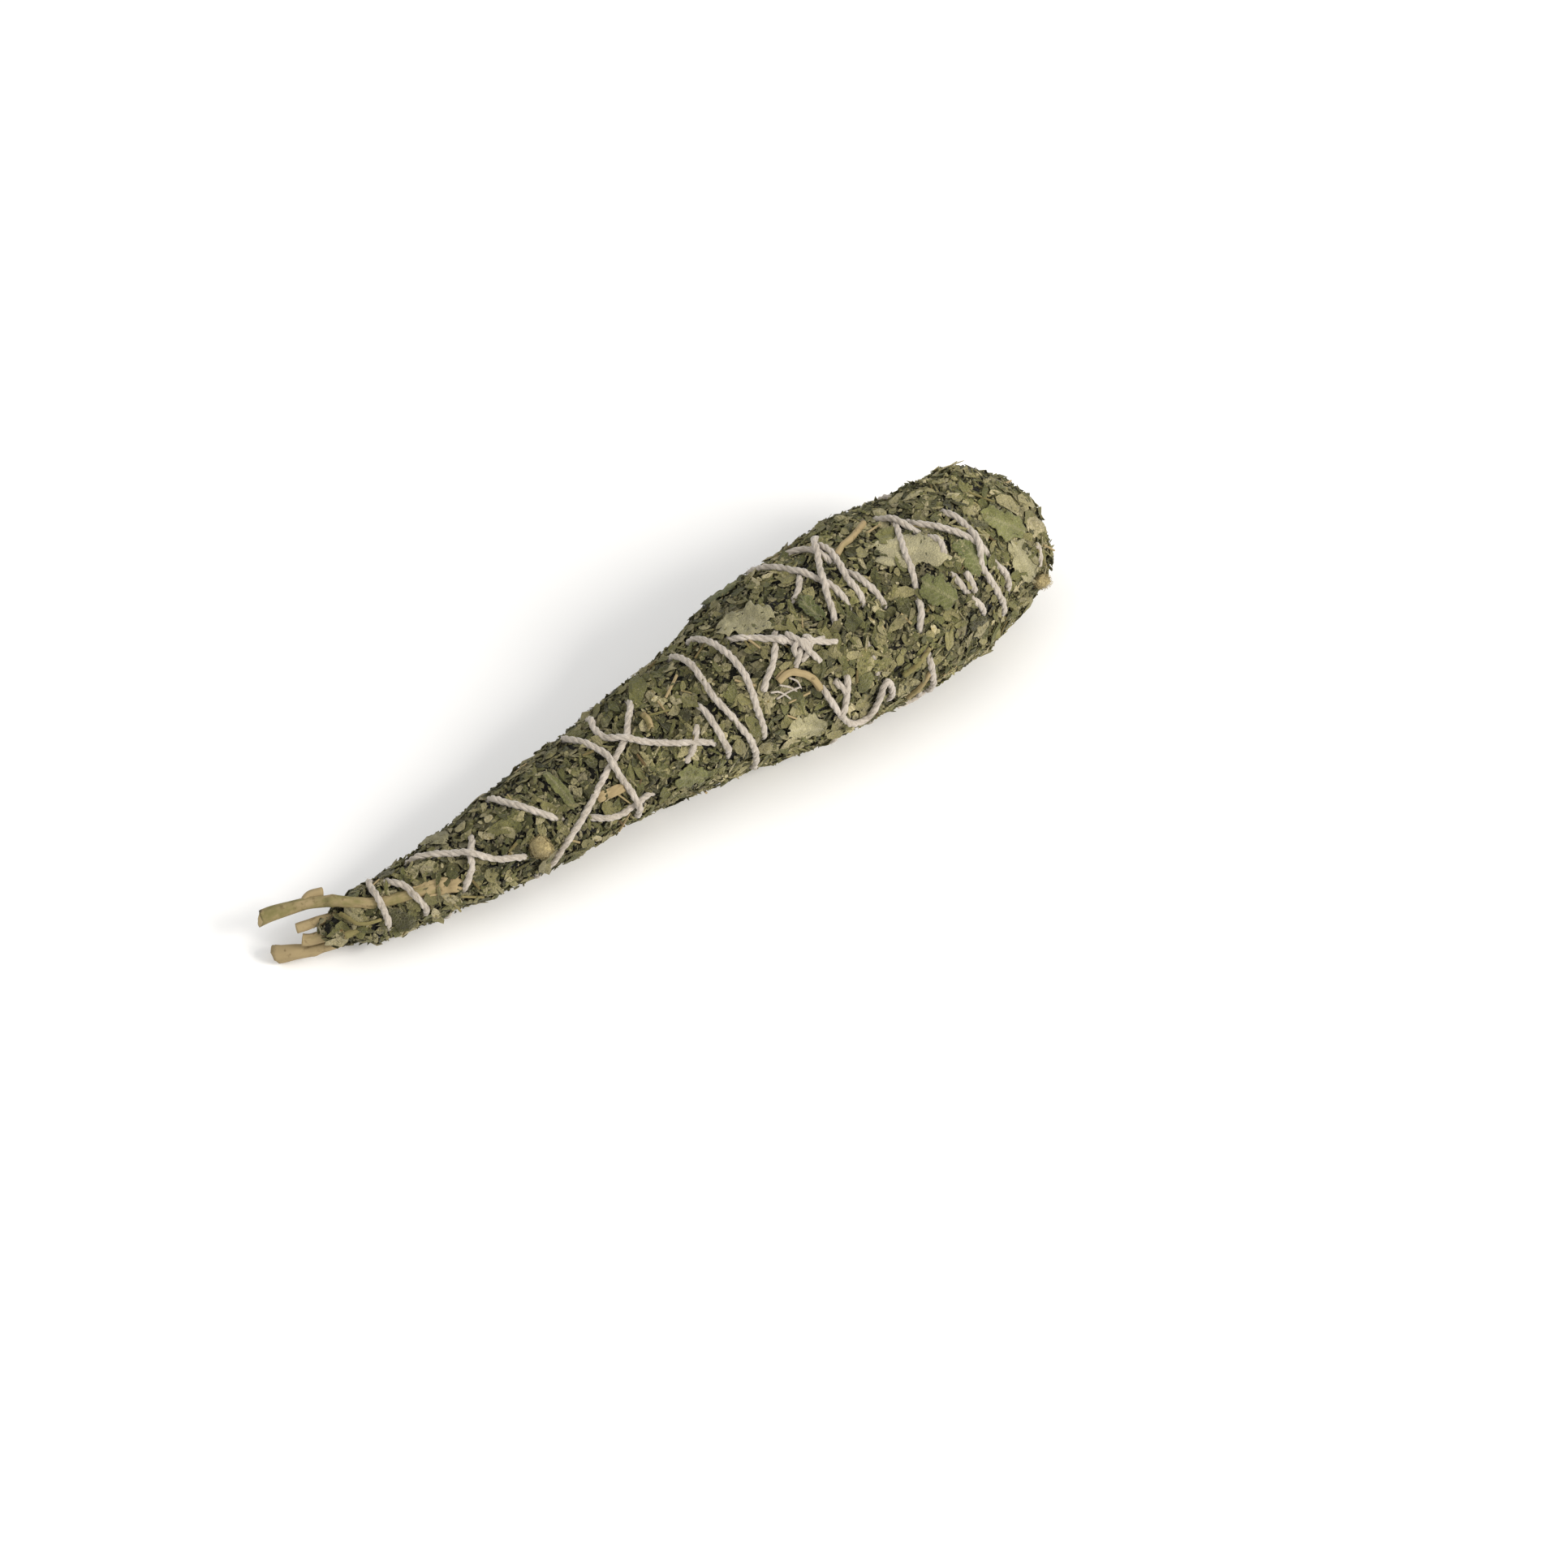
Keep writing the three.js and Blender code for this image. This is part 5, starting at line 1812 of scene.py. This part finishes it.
@dataclass
class Stems:
    """The cut stems at the neck and the bits of twig that lie in the leaf."""

    shape: PackShape
    finish: Material
    sides: int = 22
    step: float = 0.5

    STEMS = (
        Stem("stem_main", ((-0.2, -82, 3.9), (3.5, -71, 3.1), (7, -60, 2.3), (11.3, -38, 1.2), (14, -14, 0.8),
                           (17, 6, 0.5), (19, 19, 0.4), (23, 31, 0.5), (27, 38, 0.6), (31, 45, 0.3),
                           (35, 52, -0.8)), 2.3, flare=0.35, slant=0.9, tint=0.55,
             side=((7.6, -56, 1.9), (9.6, -55, 3.2), (12.2, -50, 2.9))),
        Stem("stem_foot", ((0.4, 217, 2.5), (3.9, 203, 0.7), (8, 184, -0.6), (11.3, 172, -1.2),
                           (18, 155, -1.5), (34, 150, -1.8)), 2.4, flare=0.55, slant=-0.5, tint=0.85),
        Stem("stem_cut_upper", ((4.7, -81, 3.4), (10.6, -58, 2.5), (18, -75, 2.0), (34, -75, 2.0)), 2.0,
             from_axis=True, slant=0.2, tint=0.75),
        Stem("stem_cut_lower", ((5, -131, 2.5), (8, -160, 1.3), (11, -200, 0.6), (18, -266, 1.4),
                                (36, -270, 1.4)), 2.5, from_axis=True, slant=0.15, tint=0.7),
        Stem("stem_inner_back", ((11.5, 224, -0.9), (18, 230, -1.5), (32, 230, -1.7)), 2.3, slant=-0.3,
             tint=0.35),
        Stem("stem_inner_front", ((11.5, 70, -1.0), (18, 74, -1.3), (24, 84, -1.5)), 1.5, tint=0.5),
        Stem("stem_inner_top", ((15.2, -50, -0.8), (18, -45, -1.1), (28, -40, -1.5)), 1.3, tint=0.5),
    )  # fmt: skip
    # Where the flakes keep off the main stem.
    SHOWN = (
        (15, -6, 0.5), (17, 6, 0.5), (19, 19, 0.5), (21, 25, 0.5), (23, 31, 0.5), (25, 35, 0.5),
        (27, 38, 0.5), (29, 41, 0.5),
    )  # fmt: skip
    TWIGS = (
        Stem("twig_petiole", ((12.6, 6, -0.3), (13.3, 28, 0.5), (14.3, 45, 1.0), (16.4, 53, 1.2),
                              (19, 56, 1.1)), 1.0, taper=0.3, tint=0.4),
        Stem("twig_arch", ((110.8, 46, 1.2), (113.5, 44.5, 1.7), (115.5, 48, 1.9), (117.5, 54, 1.9),
                           (118.5, 60, 1.7), (119, 65, 1.2)), 1.5, tint=0.8),
        Stem("twig_knee", ((135.6, -4, 1.2), (138, -8, 1.6), (140.5, -10.5, 1.7), (143, -15, 1.7),
                           (146.4, -23, 1.2)), 1.3, tint=0.7),
        Stem("twig_upright", ((84.6, 6, 1.4), (84.8, 14, 1.6), (84.4, 22, 1.4)), 1.3, tint=0.6),
        Stem("twig_side_a", ((137.6, 82, 1.2), (141, 77, 1.5), (144.4, 71, 1.2)), 1.3, taper=0.3, tint=0.5),
        Stem("twig_side_b", ((139.8, 109, 1.2), (141.8, 98, 1.5), (143.8, 87, 1.2)), 1.3, taper=0.3,
             tint=0.65),
        Stem("twig_back", ((89.6, 266, 1.4), (91.8, 258, 1.5), (93.2, 244, 1.5)), 1.3, taper=0.3, tint=0.5),
    )  # fmt: skip

    def line(self, stem: Stem, route: Sequence[Place]) -> tuple[Array, Array]:
        """A stem's or its side stub's centre line, and a direction off it.

        Args:
            stem: the stem.
            route: the stem's own route, or its side stub's.

        Returns:
            The line, and the directions.
        """
        station, angle, lift = route_points(route, self.step).T
        if stem.from_axis:
            lift = lift - self.shape.radius(station, angle)
        line = self.shape.point(station, angle, lift)
        return line, turned_up(directions(line), np.array([0.0, 0.0, 1.0]))

    def build_stem(self, stem: Stem) -> None:
        """Makes one stem with ribs, a swollen node and cut ends.

        Args:
            stem: the stem.
        """
        line, ups = self.line(stem, stem.route)
        rng = random.Random(stem.node)
        phase, ribs = rng.uniform(0, 6), rng.choice((6, 7, 8))
        knot_at = rng.uniform(0.25, 0.4)

        def reach(share: Array, turn: Array) -> Array:
            """The stem's radius.

            Args:
                share: shares along it.
                turn: angles round it.

            Returns:
                The radii, in metres.
            """
            width = 1 + stem.flare * np.exp(-((share / 0.16) ** 2)) - stem.taper * share
            ridges = 1 + 0.06 * np.cos(ribs * turn + phase + 1.5 * share)
            ridges = ridges + 0.03 * np.cos(13 * turn - 9 * share)
            bulge = 0.16 * np.exp(-(((share - knot_at) / 0.03) ** 2)) * (1 + 0.5 * np.cos(turn + phase))
            wander = 0.05 * np.sin(share * 31 + phase + 2 * np.cos(turn))
            return stem.diameter / 2 * MM * width * (ridges + bulge + wander)

        parts = MeshParts()
        tube(parts, line, ups, reach, self.sides, (stem.slant, -stem.slant * 0.3), 0.25 * MM, tint=stem.tint)
        if stem.side:
            tube(
                parts, *self.line(stem, stem.side),
                lambda share, turn: stem.diameter * 0.4 * MM * (1 + 0.08 * np.cos(5 * turn) + 0.1 * share),
                16, (0.0, 0.3), 0.1 * MM, tint=0.8,
            )  # fmt: skip
        show(parts.piece(f"{stem.node}_wood", self.finish), Slot.WOOD, stem.node)

    def build(self) -> None:
        """Makes every stem and twig."""
        for stem in (*self.STEMS, *self.TWIGS):
            self.build_stem(stem)


# ---------------------------------------------------------------- studio


@dataclass
class Studio:
    """The pale floor, the soft light and the camera."""

    azimuth: float = -33.35
    elevation: float = 50.0
    distance: float = 1.1
    shape: PackShape = field(default_factory=PackShape)
    target: Triple = (108.43, -19.82, 5.2)
    field_of_view: float = 16.65
    reach: float = 4.0
    sky: float = 0.75

    def floor(self) -> None:
        """A wide pale floor."""
        corners = [(x * self.reach, y * self.reach, 0) for x, y in ((-1, -1), (1, -1), (1, 1), (-1, 1))]
        mesh = mesh_of("floor", corners, [(0, 1, 2, 3)])
        g = Paint("floor_paint")
        tones = ((0.0, srgb(240, 239, 237)), (1.0, srgb(246, 245, 243)))
        tone = g.ramp(g.noise(g.coordinates(), 3.0, 2.0), tones)
        g.give(g.shader, {"Base Color": tone, "Roughness": 0.9})
        mesh.materials.append(g.material)
        placed("floor", mesh)

    def lamp(self, name: str, place: Triple, size: float, power: float, tint: Triple) -> None:
        """A square soft lamp that faces the bundle.

        Args:
            name: its name.
            place: where it hangs, in metres.
            size: its side, in metres.
            power: in watts.
            tint: its colour.
        """
        light = bpy.data.lights.new(name, "AREA")
        light.size, light.energy, light.color = size, power, tint
        lamp = placed(name, light)
        lamp.location = place
        lamp.rotation_euler = (Vector((0, 0, 0.02)) - Vector(place)).to_track_quat("-Z", "Y").to_euler()

    def light(self) -> None:
        """A large soft key from the right and front, and an even pale sky."""
        self.lamp("key", (0.75, -1.15, 0.95), 0.7, 26.0, (1.0, 0.97, 0.93))
        self.lamp("fill", (-0.9, 0.2, 1.4), 1.4, 6.0, (0.95, 0.97, 1.0))
        world = bpy.data.worlds.new("sky")
        world.use_nodes = True
        shade = world.node_tree.nodes["Background"]
        shade.inputs["Color"].default_value = (1.0, 1.0, 1.0, 1.0)
        shade.inputs["Strength"].default_value = self.sky
        bpy.context.scene.world = world

    def camera(self) -> None:
        """The camera, turned round the bundle's middle."""
        turn, rise = math.radians(self.azimuth), math.radians(self.elevation)
        back = Vector((math.sin(turn) * math.cos(rise), -math.cos(turn) * math.cos(rise), math.sin(rise)))
        data = bpy.data.cameras.new("camera")
        data.angle = math.radians(self.field_of_view)
        data.clip_start, data.clip_end = 0.05, 20.0
        camera = placed("camera", data)
        middle = Vector(self.target) + Vector((*self.shape.shift, 0.0))
        camera.location = middle * MM + back * self.distance
        camera.rotation_euler = back.to_track_quat("Z", "Y").to_euler()
        bpy.context.scene.camera = camera

    def build(self) -> None:
        """Sets everything up."""
        self.floor()
        self.light()
        self.camera()
        bpy.context.scene.view_settings.view_transform = "Standard"


def main() -> None:
    """Builds the bundle round its frame."""
    logging.basicConfig(level=logging.INFO, format="%(name)s: %(message)s")
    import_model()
    finishes = Finishes.made()
    shape = PackShape().placed_in(*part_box("leaf_pack"))
    LOG.info("pack shifted by %.3f, %.3f mm", *shape.shift)
    twine = Twine(shape, finishes.cotton).build()
    leaves = Leaves(shape, finishes)
    mass = LeafMass(shape, finishes.mixed, finishes.under, finishes.dark, finishes.wood)
    mass.build(twine, [*leaves.spots(), *Stems.SHOWN])
    leaves.build()
    Stems(shape, finishes.wood).build()
    Studio(shape=shape).build()


if __name__ == "__main__":
    main()
